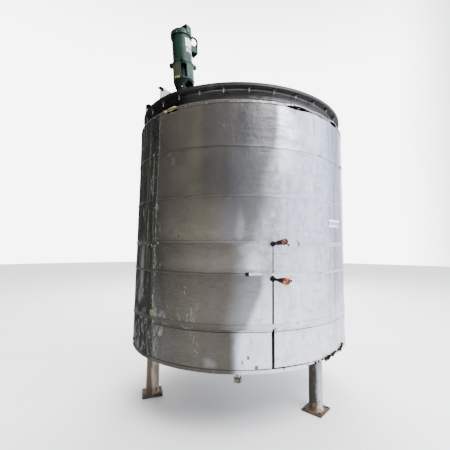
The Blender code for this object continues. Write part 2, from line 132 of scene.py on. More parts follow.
def mixer_place():
    """The mixer's frame: Z up its shaft, X the way it leans."""
    away = Vector((MIXER_BASE.x, MIXER_BASE.y - TANK_Y, 0.0)).normalized()
    lean = away * math.cos(MIXER_TILT) - UP * math.sin(MIXER_TILT)
    axis = away * math.sin(MIXER_TILT) + UP * math.cos(MIXER_TILT)
    return on_axes(lean, axis.cross(lean), axis, MIXER_BASE)


PLAIN = shift(0.0, 0.0, 0.0)
AXIS = shift(0.0, TANK_Y, 0.0)
MIXER = mixer_place()


def turns_of(place, count, first=0.0):
    """A place turned about its Z in equal steps."""
    return [place @ roll(360.0 / count * step + first, "Z") for step in range(count)]


def rgba(colour):
    return (*colour, 1.0) if isinstance(colour, tuple) else colour


class Graph:
    """A node tree, built by short calls that take values or sockets."""

    def __init__(self, tree):
        self.tree = tree

    def feed(self, socket, value):
        if isinstance(value, bpy.types.NodeSocket):
            self.tree.links.new(value, socket)
        else:
            socket.default_value = value

    def node(self, kind, inputs=(), **settings):
        """Add a node, with its settings, and values or links for its inputs."""
        made = self.tree.nodes.new(kind)
        for key, value in settings.items():
            setattr(made, key, value)
        for key, value in dict(inputs).items():
            self.feed(made.inputs[key], value)
        return made

    def math(self, operation, a, b=0.0):
        return self.node("ShaderNodeMath", {0: a, 1: b}, operation=operation).outputs[0]

    def add(self, a, b):
        return self.math("ADD", a, b)

    def less(self, a, b):
        return self.math("SUBTRACT", a, b)

    def both(self, first, *others):
        """The product of masks."""
        for mask in others:
            first = self.math("MULTIPLY", first, mask)
        return first

    def vector(self, operation, a, b=(0.0, 0.0, 0.0)):
        made = self.node("ShaderNodeVectorMath", {0: a, 1: b}, operation=operation)
        return made.outputs["Value" if operation in ("LENGTH", "DOT_PRODUCT") else "Vector"]

    def split(self, value):
        """A vector's three parts."""
        return self.node("ShaderNodeSeparateXYZ", {0: value}).outputs

    def span(self, value, low, high, to_low=0.0, to_high=1.0):
        """Map a value's range smoothly on another."""
        return self.node("ShaderNodeMapRange", {0: value, 1: low, 2: high, 3: to_low, 4: to_high},
                         interpolation_type="SMOOTHSTEP").outputs[0]

    def steps(self, value, stops):
        """Map a value from 0 to 1 on grey levels or colours, given as (place, level) pairs."""
        made = self.node("ShaderNodeValToRGB", {0: value})
        elements = made.color_ramp.elements
        while len(elements) < len(stops):
            elements.new(0.5)
        for element, (place, level) in zip(elements, stops):
            element.position = place
            element.color = rgba(level if isinstance(level, tuple) else (level, level, level))
        return made.outputs[0]

    def blend(self, mask, low, high):
        """Mix two colours."""
        return self.node("ShaderNodeMix", {0: mask, 6: rgba(low), 7: rgba(high)}, data_type="RGBA").outputs[2]


class Paint(Graph):
    """A node material, laid on in layers."""

    def __init__(self, name, colour, metallic=0.0, roughness=0.5, gloss=0.5):
        self.material = bpy.data.materials.new(name)
        self.material.use_nodes = True
        super().__init__(self.material.node_tree)
        self.here = self.node("ShaderNodeTexCoord").outputs["Object"]
        self.colour = colour
        self.values = {"Roughness": roughness, "Metallic": metallic, "Specular IOR Level": gloss}
        self.height = None

    def normal(self):
        return self.node("ShaderNodeNewGeometry").outputs["Normal"]

    def noise(self, scale, stretch=1.0, detail=4.0, rough=0.55):
        """Noise over the piece, stretched along Z, or along all axes, by a factor below 1."""
        stretch = stretch if isinstance(stretch, tuple) else (1.0, 1.0, stretch)
        place = self.vector("MULTIPLY", self.here, stretch)
        return self.node("ShaderNodeTexNoise", {"Vector": place, "Scale": scale, "Detail": detail,
                                                "Roughness": rough}).outputs["Fac"]

    def waver(self, amount, *grain):
        """Noise about zero."""
        return self.both(self.less(self.noise(*grain), 0.5), amount)

    def layer(self, mask, colour, roughness=None, metal=None, height=None, gloss=None):
        """Lay a colour over what is there, where the mask, or the product of masks, is 1."""
        mask = self.both(*mask) if isinstance(mask, tuple) else mask
        self.colour = self.blend(mask, self.colour, colour)
        for key, value in zip(tuple(self.values), (roughness, metal, gloss)):
            if value is not None:
                mix = {0: mask, 2: self.values[key], 3: value}
                self.values[key] = self.node("ShaderNodeMix", mix).outputs[0]
        if height is not None:
            self.relief(mask, height)

    def patch(self, grain, edges, *tone, within=(), **more):
        """Lay a colour where noise rises from one edge to the other, within other masks."""
        self.layer((self.span(self.noise(*grain), *edges), *within), *tone, **more)

    def relief(self, value, height):
        """Add a height in metres to the surface."""
        step = self.both(value, height)
        self.height = step if self.height is None else self.add(self.height, step)

    def done(self, *grain):
        """Join what was laid to the shader, with a last grain given as noise and its height."""
        if grain:
            self.relief(self.noise(*grain[:-1]), grain[-1])
        shader = self.tree.nodes["Principled BSDF"]
        for key, value in self.values.items():
            self.feed(shader.inputs[key], value)
        self.feed(shader.inputs["Base Color"], rgba(self.colour))
        if self.height is not None:
            bump = self.node("ShaderNodeBump", {"Height": self.height, "Distance": 1.0, "Strength": 1.0})
            self.feed(shader.inputs["Normal"], bump.outputs[0])
        return self.material


def unrolled(paint):
    """The cladding laid flat: metres round the tank from its front, height, and both as a vector."""
    x, y, z = paint.split(paint.here)
    across = paint.both(paint.math("ARCTAN2", x, paint.less(TANK_Y, y)), CLAD_R)
    return across, z, paint.node("ShaderNodeCombineXYZ", {0: across, 1: z, 2: 0.0}).outputs[0]


def spot(paint, flat, az, z, wide, high, soft=0.3):
    """A mask round a place on the cladding, az in degrees and the rest in metres."""
    off = paint.vector("SUBTRACT", flat, (math.radians(az) * CLAD_R, z, 0.0))
    off = paint.vector("MULTIPLY", off, (1.0 / wide, 1.0 / high, 0.0))
    return paint.span(paint.vector("LENGTH", off), 1.0 + soft, 1.0 - soft)


# Where the brown film of stain, painted shade and painted reflection ends, and where it turns dark, as (height,
# metres from the front, softness)
FILM_ENDS = (
    (0.58, -0.02, 0.06), (0.8, -0.024, 0.07), (0.93, 0.01, 0.08), (0.932, 0.06, 0.07), (1.306, 0.195, 0.06),
    (1.395, 0.19, 0.07), (1.405, 0.06, 0.1), (1.655, 0.03, 0.12), (1.665, 0.13, 0.14), (1.85, 0.17, 0.16),
    (2.07, 0.27, 0.2), (2.09, 0.26, 0.22), (2.49, 0.315, 0.16), (2.51, 0.32, 0.06), (2.93, 0.335, 0.05))
FILM_SHADE_STARTS = (
    (0.58, -0.055, 0.06), (0.93, -0.05, 0.06), (0.932, -0.06, 0.22), (1.395, 0.01, 0.2), (1.405, -0.03, 0.1),
    (1.655, -0.06, 0.14), (1.665, -0.2, 0.2), (2.07, -0.14, 0.16), (2.93, -0.08, 0.2))
# Its tone where it is thin and where it is dark with painted shade, and how much painted shade darkens its
# left, by height
FILM_THIN = (
    (0.58, (0.17, 0.175, 0.195)), (1.395, (0.19, 0.195, 0.215)), (1.405, (0.25, 0.25, 0.26)),
    (1.85, (0.24, 0.24, 0.25)), (2.13, (0.19, 0.19, 0.195)), (2.4, (0.165, 0.165, 0.17)),
    (2.63, (0.138, 0.138, 0.142)), (2.8, (0.118, 0.118, 0.122)), (2.93, (0.112, 0.112, 0.116)))
FILM_SHADED = (
    (0.58, (0.055, 0.051, 0.044)), (0.93, (0.064, 0.059, 0.051)), (0.935, (0.07, 0.063, 0.055)),
    (1.395, (0.088, 0.079, 0.069)), (1.405, (0.12, 0.11, 0.098)), (1.655, (0.175, 0.161, 0.142)),
    (1.665, (0.215, 0.198, 0.175)), (2.93, (0.215, 0.196, 0.172)))
FILM_LEFT_SHADE = ((0.58, 0.9), (1.2, 0.9), (1.45, 0.84), (1.62, 0.84), (1.7, 0.76), (2.0, 0.44), (2.15, 0.3),
             (2.55, 0.28), (2.75, 0.08), (2.93, 0.0))


def lay_film_and_shade(paint, across, height):
    """The brown film on the sheets, partly stain and partly painted shade and painted reflection: dark on the
    left, thinner towards the middle, and gone on the right.
    """
    base, tall = 0.5, 2.5
    rise = paint.math("DIVIDE", paint.less(height, base), tall)
    wave = paint.waver(0.12, 2.3, 1.0, 5.0)
    front = paint.span(across, -3.3, -2.3)

    def by_height(table):
        return paint.steps(rise, [((z - base) / tall, level) for z, level in table])

    def left_of(table):
        edge = by_height([(z, (edge + 1.0) / 2.0) for z, edge, _ in table])
        soft = by_height([(z, soft) for z, _, soft in table])
        edge = paint.less(paint.both(edge, 2.0), 1.0)
        edge = paint.add(edge, paint.both(wave, paint.span(soft, 0.01, 0.1, 0.15, 1.0)))
        return paint.span(paint.math("DIVIDE", paint.less(edge, across), soft), -0.6, 0.6)

    paint.layer((left_of(FILM_ENDS), front), by_height(FILM_THIN), 0.34)
    # Olive and mauve run down the dark part in broad stripes
    stripe = paint.span(paint.noise(3.6, 0.05, 3.0, 0.5), 0.38, 0.62)
    tint = paint.blend(stripe, (0.95, 0.96, 0.84), (1.07, 0.99, 1.02))
    paint.layer((left_of(FILM_SHADE_STARTS), front), paint.vector("MULTIPLY", by_height(FILM_SHADED), tint), 0.36)
    # Painted shade: darker in the middle of the upper courses, and darker on the left by height
    middle = paint.both(paint.span(across, -0.43, -0.32), paint.span(across, -0.04, -0.15))
    paint.layer((middle, paint.span(height, 1.95, 2.2), 0.55), (0.105, 0.103, 0.106), 0.34)
    paint.layer((paint.span(across, -0.3, -0.92), by_height(FILM_LEFT_SHADE), front), (0.016, 0.016, 0.013), 0.4)
    olive = paint.span(paint.add(across, wave), -0.7, -0.8)
    paint.layer((olive, paint.span(height, 1.62, 1.45, 0.0, 0.75), front), (0.022, 0.023, 0.015), 0.45)
    return front


# Places on the cladding, as (azimuth, height, half width, half height)
BLOTCHES = ((19.0, 2.82, 0.13, 0.055), (30.0, 1.535, 0.055, 0.05), (4.0, 1.53, 0.09, 0.06),
            (9.0, 1.2, 0.045, 0.1), (6.5, 0.77, 0.09, 0.06), (18.0, 2.4, 0.07, 0.09))
SMEARS = ((-0.2, 1.8, 0.034, 0.13), (0.8, 1.61, 0.04, 0.04))
PALE_RUNS = ((-52.8, 1.42, 0.05, 0.24), (-55.0, 1.13, 0.05, 0.06), (-96.0, 1.3, 0.05, 0.3),
             (-128.0, 1.05, 0.06, 0.22))
WHITE_MARKS = (
    (-25.9, 1.06, 0.006, 0.05), (-25.2, 0.985, 0.009, 0.04), (-19.8, 1.03, 0.015, 0.05),
    (-19.0, 1.0, 0.014, 0.055), (-21.4, 1.02, 0.007, 0.04), (-17.2, 1.11, 0.006, 0.03),
    (-22.6, 1.265, 0.014, 0.016), (-23.2, 1.22, 0.006, 0.02), (-31.0, 1.09, 0.01, 0.012),
    (-37.0, 1.45, 0.01, 0.03), (-20.0, 0.9, 0.01, 0.02), (-34.5, 0.99, 0.05, 0.045),
    (-30.0, 0.958, 0.1, 0.008), (-22.0, 0.935, 0.05, 0.008), (-16.6, 0.79, 0.016, 0.016),
    (-37.5, 1.8, 0.006, 0.05), (-27.0, 0.962, 0.16, 0.009), (-17.3, 0.735, 0.018, 0.02),
    (-18.5, 0.84, 0.007, 0.05))
YELLOW_MARKS = (
    (-41.4, 1.6, 0.008, 0.02), (-41.0, 1.54, 0.01, 0.03), (-40.0, 1.49, 0.007, 0.028),
    (-41.2, 1.44, 0.011, 0.024), (-40.8, 1.39, 0.009, 0.024), (-40.6, 1.21, 0.008, 0.03),
    (-41.0, 1.15, 0.018, 0.02), (-41.2, 1.09, 0.008, 0.035), (-41.3, 1.0, 0.04, 0.038),
    (-39.4, 0.985, 0.022, 0.024), (-34.6, 0.865, 0.022, 0.03), (-35.6, 0.835, 0.016, 0.022))
DARK_SPECKS = (
    (-22.0, 1.97, 0.012, 0.012), (-26.5, 1.74, 0.016, 0.012), (3.2, 0.7, 0.01, 0.016),
    (-31.0, 2.43, 0.02, 0.012), (37.0, 1.55, 0.008, 0.012), (6.5, 0.625, 0.012, 0.02),
    (-33.5, 2.485, 0.04, 0.01), (1.0, 0.665, 0.006, 0.012))


def cladding_paint():
    """Thin stainless sheet: a brushed grain, a brown film of stain and painted shade on the left, haze, drips
    and flakes.
    """
    paint = Paint("cladding_sheet", (0.61, 0.627, 0.685), 0.92, 0.27)
    across, height, flat = unrolled(paint)
    warp = paint.node("ShaderNodeTexNoise", {"Vector": flat, "Scale": 9.0, "Detail": 5.0}).outputs["Color"]
    warp = paint.vector("MULTIPLY", paint.vector("SUBTRACT", warp, (0.5, 0.5, 0.5)), (0.07, 0.12, 0.0))
    torn = paint.vector("ADD", flat, warp)
    cloudy = paint.noise(1.6, 0.7, 5.0, 0.6)
    grain = paint.noise(60.0, (0.25, 0.25, 6.0), 3.0, 0.7)
    mottle = paint.noise(19.0, 0.55, 7.0, 0.68)
    wrinkle = paint.noise(9.0, (0.5, 0.5, 2.4), 5.0, 0.6)

    def dabs(places, soft, strength, *tone):
        for place in places:
            paint.layer((spot(paint, torn, *place, soft), strength), *tone)

    paint.layer(paint.span(cloudy, 0.4, 0.7), (0.53, 0.545, 0.595), 0.36)
    paint.patch((7.0, 0.1, 6.0, 0.65), (0.5, 0.72), (0.68, 0.69, 0.725), 0.42, within=(0.5,))
    # Pale bloom and darker, smoother patches between it
    paint.patch((2.6, 0.6, 6.0, 0.62), (0.46, 0.66), (0.71, 0.73, 0.8), 0.46, 0.78, within=(0.6,))
    paint.layer((paint.span(mottle, 0.51, 0.66), 0.72), (0.36, 0.38, 0.45), 0.32)
    paint.layer((paint.span(mottle, 0.46, 0.34), 0.7), (0.79, 0.81, 0.88), 0.44)
    paint.layer((paint.span(wrinkle, 0.55, 0.68), 0.5), (0.34, 0.36, 0.42), 0.34)
    runs = paint.span(paint.noise(16.0, 0.06, 4.0, 0.6), 0.4, 0.62, 0.35, 0.9)
    paint.layer((paint.span(across, 0.85, 1.1), runs), (0.24, 0.255, 0.3), 0.34)
    hair = paint.math("ABSOLUTE", paint.less(paint.noise(2.4, 0.8, 3.0, 0.5), 0.5))
    paint.layer((paint.span(hair, 0.0028, 0.0012), 0.45), (0.86, 0.87, 0.9), 0.4)
    dabs(BLOTCHES, 0.6, 0.55, (0.66, 0.655, 0.62), 0.5, 0.7)
    front = lay_film_and_shade(paint, across, height)
    dabs(SMEARS, 0.8, 0.5, (0.46, 0.46, 0.455), 0.42)
    dabs(((-11.5, 0.655, 0.045, 0.035),), 0.8, 0.14, (0.46, 0.46, 0.455), 0.42)

    # Left of the lapped joint the sheets are nearly black, with pale runs down them
    beyond = paint.both(paint.span(across, -0.86, -0.905), front)
    upper = paint.span(height, 1.2, 1.7)
    paint.layer(beyond, paint.blend(upper, (0.014, 0.014, 0.012), (0.011, 0.013, 0.009)), 0.62, 0.0, None, 0.0)
    tone = paint.blend(upper, (0.055, 0.055, 0.05), (0.056, 0.06, 0.046))
    paint.patch((12.0, 0.04, 5.0, 0.6), (0.52, 0.64), tone, 0.55, within=(beyond, 0.7))
    paint.patch((34.0, 0.05, 5.0, 0.62), (0.56, 0.64), (0.115, 0.112, 0.085), 0.6, within=(beyond, 0.65))
    dabs(PALE_RUNS, 0.7, 0.75, (0.12, 0.12, 0.118), 0.6)
    paint.patch((6.0, 0.1, 6.0, 0.65), (0.54, 0.59), (0.005, 0.005, 0.004), 0.8, gloss=0.02, within=(beyond,))

    # Flakes and dry drips on the left, mostly low down
    flake = paint.add(paint.noise(14.0, 0.42, 8.0, 0.7), paint.span(height, 1.55, 0.7, 0.0, 0.125))
    thready = paint.span(paint.noise(60.0, 0.3, 6.0, 0.7), 0.46, 0.58)
    left = paint.both(paint.span(across, -0.74, -0.86), front)
    paint.layer((paint.span(flake, 0.6, 0.65), left, thready), (0.135, 0.138, 0.128), 0.7, 0.0, 0.0004, 0.1)
    for places, colour, metal, strength in ((WHITE_MARKS, (0.155, 0.158, 0.152), 0.1, 0.6),
                                            (YELLOW_MARKS, (0.23, 0.205, 0.125), 0.0, 0.9)):
        mask = 0.0
        for place in places:
            mask = paint.math("MAXIMUM", mask, spot(paint, torn, *place))
        crumbs = paint.span(paint.noise(75.0, 0.5, 7.0, 0.75), 0.45, 0.55)
        paint.layer((mask, crumbs, strength), colour, 0.85, metal, 0.0008)
    dabs(DARK_SPECKS, 0.3, 0.8, (0.022, 0.018, 0.013), 0.8, 0.3)
    paint.patch((26.0, 0.8, 2.0), (0.7, 0.76), (0.16, 0.13, 0.1), 0.7, within=(0.35,))
    paint.layer((paint.span(grain, 0.35, 0.75), 0.08), (0.36, 0.36, 0.38), 0.4)
    paint.relief(grain, 0.00007)
    paint.relief(paint.noise(38.0, 1.0, 5.0, 0.7), 0.0003)
    paint.relief(mottle, 0.0022)
    paint.relief(paint.both(wrinkle, paint.span(across, -0.2, 0.25, 0.35, 1.0)), 0.002)
    paint.relief(cloudy, 0.01)
    return paint.done()


def edge_paint():
    """Brighter, more crumpled sheet for the flashing, bands and trim, with the film, painted shade on the left,
    a painted lighter lip on the right and painted highlights on the lip's folds.
    """
    paint = Paint("band_sheet", (0.6, 0.61, 0.65), 0.9, 0.33)
    across, height, _ = unrolled(paint)
    paint.patch((3.0, 1.0, 5.0), (0.42, 0.66), (0.5, 0.51, 0.54), 0.42)
    lip = paint.span(height, CLAD_TOP - 0.02, CLAD_TOP - 0.015)
    # Painted light and shade on the lip: darker on the left and lighter on the right, then dark brown on the
    # left front
    tone = paint.blend(paint.span(across, 0.15, 0.65), (0.125, 0.125, 0.132), (0.2, 0.205, 0.22))
    paint.layer(lip, tone, 0.38)
    front = lay_film_and_shade(paint, across, height)
    paint.layer((lip, paint.span(across, 0.25, -0.75), front, 0.8), (0.062, 0.056, 0.047), 0.5)
    # Painted highlights on the lip's folds
    tone = paint.blend(paint.span(across, -0.2, 0.6), (0.22, 0.215, 0.205), (0.42, 0.42, 0.43))
    paint.patch((20.0, 1.6, 5.0, 0.65), (0.56, 0.62), tone, 0.35, within=(lip, 0.8))
    # Painted shade: darker on the left front
    paint.layer((paint.span(across, 0.05, -0.15), front, 0.35), (0.05, 0.045, 0.04), 0.42)
    paint.layer((paint.span(across, -0.8, -0.95), front), (0.028, 0.028, 0.024), 0.7, 0.0, None, 0.1)
    paint.patch((22.0, 0.5, 6.0), (0.6, 0.68), (0.14, 0.12, 0.1), 0.7, 0.4,
                within=(paint.span(across, -0.5, 0.4),))
    foil = paint.both(lip, paint.span(across, -0.1, 0.6, 0.35, 1.0), paint.noise(34.0, 0.7, 4.0, 0.6))
    paint.relief(foil, 0.01)
    return paint.done(30.0, (0.5, 0.5, 2.0), 4.0, 0.0008)


def shade_left_light_right(paint, right):
    """Painted shade, black on the tank's left front, and a painted lighter tone on its right."""
    across, _, _ = unrolled(paint)
    paint.layer((paint.span(across, 0.15, 0.75), 0.8), right)
    paint.layer((paint.span(across, -0.25, -0.75), paint.span(across, -3.3, -2.3)), (0.006, 0.006, 0.006), 0.8,
                0.0, None, 0.05)
    return across


def wall_paint():
    """The bare strip of the vessel's wall under its flange."""
    paint = Paint("vessel_wall_steel", (0.075, 0.072, 0.07), 0.75, 0.42)
    paint.patch((4.0, 2.0, 6.0), (0.35, 0.65), (0.1, 0.097, 0.095), 0.5)
    paint.patch((9.0, 0.5, 7.0, 0.65), (0.52, 0.66), (0.05, 0.042, 0.034), 0.7, 0.3)
    # Painted shade on the left front and a painted lighter tone on the right
    shade_left_light_right(paint, (0.17, 0.165, 0.155))
    return paint.done(70.0, 1.0, 5.0, 0.0005)


def steel_paint(name, colour, dirt, rust=0.0, roughness=0.45, metallic=0.85):
    """Weathered steel: cloudy tone, dirt, and rust where asked."""
    paint = Paint(name, colour, metallic, roughness)
    pale = tuple(min(1.0, channel * 1.35) for channel in colour)
    paint.patch((4.0, 0.6, 6.0, 0.6), (0.35, 0.65), pale, roughness + 0.1)
    paint.patch((11.0, 0.35, 7.0, 0.65), (0.52, 0.66), dirt, 0.8, 0.3)
    if rust > 0.0:
        tint = paint.blend(paint.noise(60.0), (0.12, 0.045, 0.018), (0.28, 0.11, 0.035))
        paint.patch((7.0, 0.7, 8.0, 0.68), (0.66 - rust * 0.3, 0.72 - rust * 0.3), tint, 0.9, 0.0, 0.0006)
    return paint.done(70.0, 1.0, 5.0, 0.0005)


def bridge_paint():
    """Dull galvanised channel with rust, painted shade black below and on the tips over the cover's edge, and
    darker at its ends.
    """
    paint = Paint("galvanised_channel", (0.27, 0.27, 0.28), 0.5, 0.5)
    paint.patch((4.0, 0.6, 6.0), (0.35, 0.65), (0.38, 0.38, 0.39), 0.6)
    paint.patch((11.0, 0.35, 7.0, 0.65), (0.52, 0.66), (0.07, 0.065, 0.06), 0.8, 0.3)
    paint.patch((9.0, 1.0, 8.0, 0.7), (0.64, 0.7), (0.13, 0.07, 0.04), 0.9, 0.0)
    # Painted shade: black on the faces turned down
    normal = paint.normal()
    paint.layer(paint.span(paint.split(normal)[2], -0.35, -0.75), (0.012, 0.011, 0.01), 0.8, 0.2)
    ends = paint.math("ABSOLUTE", paint.vector("DOT_PRODUCT", normal, tuple(outward(BEAM_AZ))))
    paint.layer(paint.span(ends, 0.8, 0.95), (0.018, 0.017, 0.016), 0.8, 0.2)
    # Painted shade: black on the tips that reach over the cover's edge
    level = paint.vector("MULTIPLY", paint.vector("SUBTRACT", paint.here, (0.0, TANK_Y, 0.0)), (1.0, 1.0, 0.0))
    tip = paint.both(paint.span(paint.vector("LENGTH", level), 1.148, 1.156),
                     paint.span(paint.split(paint.here)[2], 3.252, 3.262))
    paint.layer(tip, (0.008, 0.008, 0.007), 0.9, 0.0, None, 0.05)
    return paint.done(70.0, 1.0, 5.0, 0.0005)


def flange_paint():
    """Nearly black plate edge with grey scuffs and dust, painted shade on the left front, a painted lighter
    tone on the right, and a painted highlight along the cover's rim at the front.
    """
    paint = Paint("dark_flange", (0.02, 0.02, 0.019), 0.35, 0.5)
    paint.patch((5.0, 2.0, 6.0, 0.65), (0.5, 0.68), (0.045, 0.044, 0.043), 0.6)
    paint.patch((14.0, 3.0, 7.0, 0.7), (0.6, 0.7), (0.08, 0.075, 0.065), 0.8, 0.1)
    paint.patch((9.0, 1.0, 8.0, 0.7), (0.68, 0.76), (0.07, 0.035, 0.02), 0.9, 0.0)
    up = paint.split(paint.normal())[2]
    # Painted shade on the left front and a painted lighter tone on the right
    across = shade_left_light_right(paint, (0.042, 0.042, 0.042))
    top = paint.span(up, 0.3, 0.8)
    paint.layer(top, (0.04, 0.039, 0.037), 0.6, 0.2, None, 0.3)
    paint.patch((2.2, 1.0, 7.0, 0.62), (0.42, 0.62), (0.085, 0.082, 0.076), 0.85, 0.0, within=(top,))
    paint.patch((7.0, 1.0, 8.0, 0.7), (0.52, 0.64), (0.13, 0.125, 0.11), 0.9, 0.0, within=(top, 0.7))
    paint.patch((3.4, 1.0, 5.0, 0.5), (0.6, 0.66), (0.065, 0.045, 0.03), 0.9, 0.0, within=(top, 0.6))
    # Painted highlight: a pale line along the cover's rim at the front
    line = paint.span(paint.split(paint.here)[2], COVER_TOP - 0.005, COVER_TOP - 0.002)
    paint.layer((line, paint.span(across, -0.3, 0.3), paint.span(up, 0.95, 0.85)), (0.26, 0.26, 0.26), 0.6)
    return paint.done(55.0, 1.0, 5.0, 0.0008)


def green_paint():
    """Dark green machine paint: faded, dusty and chipped, with a painted lighter tone on its right, and painted
    shade, black on its left, below and on the fan cover's shoulder under the hood.
    """
    paint = Paint("green_machine_paint", (0.0038, 0.02, 0.0125), 0.0, 0.42, 0.16)
    paint.patch((5.0, 0.6, 5.0), (0.4, 0.68), (0.005, 0.022, 0.015), 0.45)
    paint.patch((17.0, 0.5, 8.0, 0.68), (0.55, 0.7), (0.035, 0.055, 0.047), 0.6, within=(0.5,))
    side, _, up = paint.split(paint.normal())
    # Painted light: paler on the faces turned to the right
    paint.layer((paint.span(side, 0.25, 0.95), 0.7), (0.045, 0.075, 0.064), 0.55)
    paint.patch((8.0, 0.3, 7.0, 0.65), (0.54, 0.68), (0.008, 0.012, 0.009), 0.6, within=(0.55,))
    # Painted shade: black on the faces turned to the left
    paint.layer((paint.span(side, -0.25, -0.75), 0.9), (0.0022, 0.005, 0.0038), 0.5, gloss=0.02)
    paint.patch((24.0, 1.0, 8.0, 0.72), (0.665, 0.685), (0.1, 0.09, 0.07), 0.6, 0.4, -0.0002)
    paint.patch((12.0,), (0.3, 0.6), (0.13, 0.13, 0.115), 0.8, within=(paint.span(up, 0.5, 0.95), 0.6))
    # Painted shade: black on the faces turned down, and on the fan cover's shoulder under the hood
    paint.layer(paint.span(up, -0.45, -0.8), (0.0022, 0.003, 0.0026), 0.85, gloss=0.02)
    shoulder = (paint.span(up, 0.18, 0.32), paint.span(up, 0.97, 0.93), paint.span(side, 0.35, 0.0))
    paint.layer(shoulder, (0.002, 0.003, 0.003), 0.8, gloss=0.02)
    return paint.done(120.0, 1.0, 4.0, 0.00022)


def shaded_inside_mixer(paint):
    """A mask of the faces inside the mixer's hollow pieces, where painted shade goes."""
    arm = paint.vector("SUBTRACT", paint.here, tuple(MIXER_BASE))
    reach = paint.vector("LENGTH", paint.vector("CROSS_PRODUCT", arm, tuple(MIXER.to_3x3().col[2])))
    return paint.span(reach, 0.1205, 0.1165)


def lantern_paint():
    """The same green with dark patches, and painted light and shade: brown-grey painted shade on the left, a
    painted lighter tone on the right, and painted shade, black, inside.
    """
    paint = Paint("lantern_paint_and_shade", (0.016, 0.03, 0.026), 0.0, 0.5, 0.12)
    side = paint.add(paint.split(paint.normal())[0], paint.waver(0.5, 9.0, 1.0, 6.0))
    # Painted light on the faces turned right, painted shade in brown-grey on those turned left
    paint.layer(paint.span(side, 0.0, 0.3), (0.05, 0.085, 0.072), 0.6)
    paint.layer(paint.span(side, -0.1, -0.3), (0.04, 0.034, 0.025), 0.75)
    paint.patch((20.0, 0.4, 7.0, 0.68), (0.55, 0.68), (0.016, 0.016, 0.013), 0.7)
    # Painted shade: black inside
    paint.layer(shaded_inside_mixer(paint), (0.003, 0.004, 0.004), 0.7)
    return paint.done(90.0, 1.0, 5.0, 0.0004)


def cage_paint():
    """Nearly black green on the pedestal, with a painted lighter tone on its right, painted shade on its left,
    and painted shade, black, inside.
    """
    paint = Paint("dark_pedestal_paint", (0.003, 0.009, 0.0072), 0.0, 0.55, 0.05)
    side = paint.split(paint.normal())[0]
    paint.patch((7.0, 0.5, 6.0), (0.45, 0.65), (0.005, 0.008, 0.0065), 0.6)
    # Painted light on the faces turned right, painted shade on those turned left and inside
    paint.layer((paint.span(side, 0.4, 0.9), 0.6), (0.03, 0.05, 0.043), 0.6)
    paint.layer(paint.span(side, -0.2, -0.7), (0.0025, 0.0045, 0.0035), 0.6)
    paint.layer(shaded_inside_mixer(paint), (0.002, 0.003, 0.003), 0.7)
    return paint.done(90.0, 1.0, 5.0, 0.0004)


def leg_paint(name, base, patches, shade, turn):
    """Old pale paint on pipe, with painted shade on the side turned from the light, and runs and rust near the
    plate.
    """
    paint = Paint(name, base, 0.15, 0.55)
    # Painted shade on the side turned from the light, with a ragged edge
    ragged = paint.add(paint.vector("DOT_PRODUCT", paint.normal(), turn), paint.waver(0.9, 14.0, 0.4, 6.0))
    paint.patch((9.0, 0.3, 7.0, 0.66), (0.46, 0.62), patches, 0.75)
    paint.layer(paint.span(ragged, -0.05, 0.35), shade, 0.75)
    paint.patch((18.0, 0.22, 8.0, 0.7), (0.57, 0.68), (0.11, 0.075, 0.045), 0.85, within=(0.7,))
    low = paint.both(paint.span(paint.split(paint.here)[2], 0.16, 0.02), 0.15)
    rusty = paint.span(paint.add(paint.noise(26.0, 0.8, 8.0, 0.7), low), 0.6, 0.7)
    tint = paint.blend(paint.noise(50.0), (0.075, 0.04, 0.022), (0.17, 0.1, 0.055))
    paint.layer(rusty, tint, 0.9, 0.0, 0.0006)
    return paint.done(60.0, 1.0, 5.0, 0.0006)


def patched_paint(name, colour, metallic, roughness, patches, grain):
    """A base with patches of noise, each as (noise, edges, colour and the like), and a grain."""
    paint = Paint(name, colour, metallic, roughness)
    for patch in patches:
        paint.patch(*patch)
    return paint.done(*grain)


def plain_paint(name, colour, other, roughness, metallic=0.0, gloss=0.5, scale=30.0, relief=0.0004):
    """Two tones and a fine grain."""
    paint = Paint(name, colour, metallic, roughness, gloss)
    paint.patch((scale, 1.0, 6.0, 0.65), (0.42, 0.62), other, roughness + 0.08)
    return paint.done(scale * 3.0, 1.0, 5.0, relief)


def label_paint(name, colour, ink):
    """A faded, scratched label with faint rules but no words."""
    paint = Paint(name, colour, 0.0, 0.45)
    rule = paint.math("FRACT", paint.both(paint.split(paint.here)[2], 62.0))
    paint.patch((60.0, 0.2, 3.0), (0.5, 0.58), ink, 0.5, within=(paint.span(rule, 0.72, 0.86), 0.8))
    paint.patch((35.0, 1.0, 7.0), (0.58, 0.7), (0.38, 0.37, 0.35), 0.7, within=(0.7,))
    return paint.done()


def strips_paint():
    """The worn label on the cladding: two bright strips with grey between them."""
    paint = Paint("worn_label", (0.93, 0.94, 0.99), 0.0, 0.35)
    off = paint.add(paint.less(paint.split(paint.here)[2], 1.871), paint.waver(0.03, 16.0, 1.0, 5.0))
    paint.layer((paint.span(paint.math("ABSOLUTE", off), 0.022, 0.014), 0.9), (0.4, 0.41, 0.45), 0.4, 0.6)
    paint.patch((45.0, 1.0, 7.0), (0.58, 0.68), (0.38, 0.38, 0.4), 0.6, within=(0.7,))
    return paint.done()


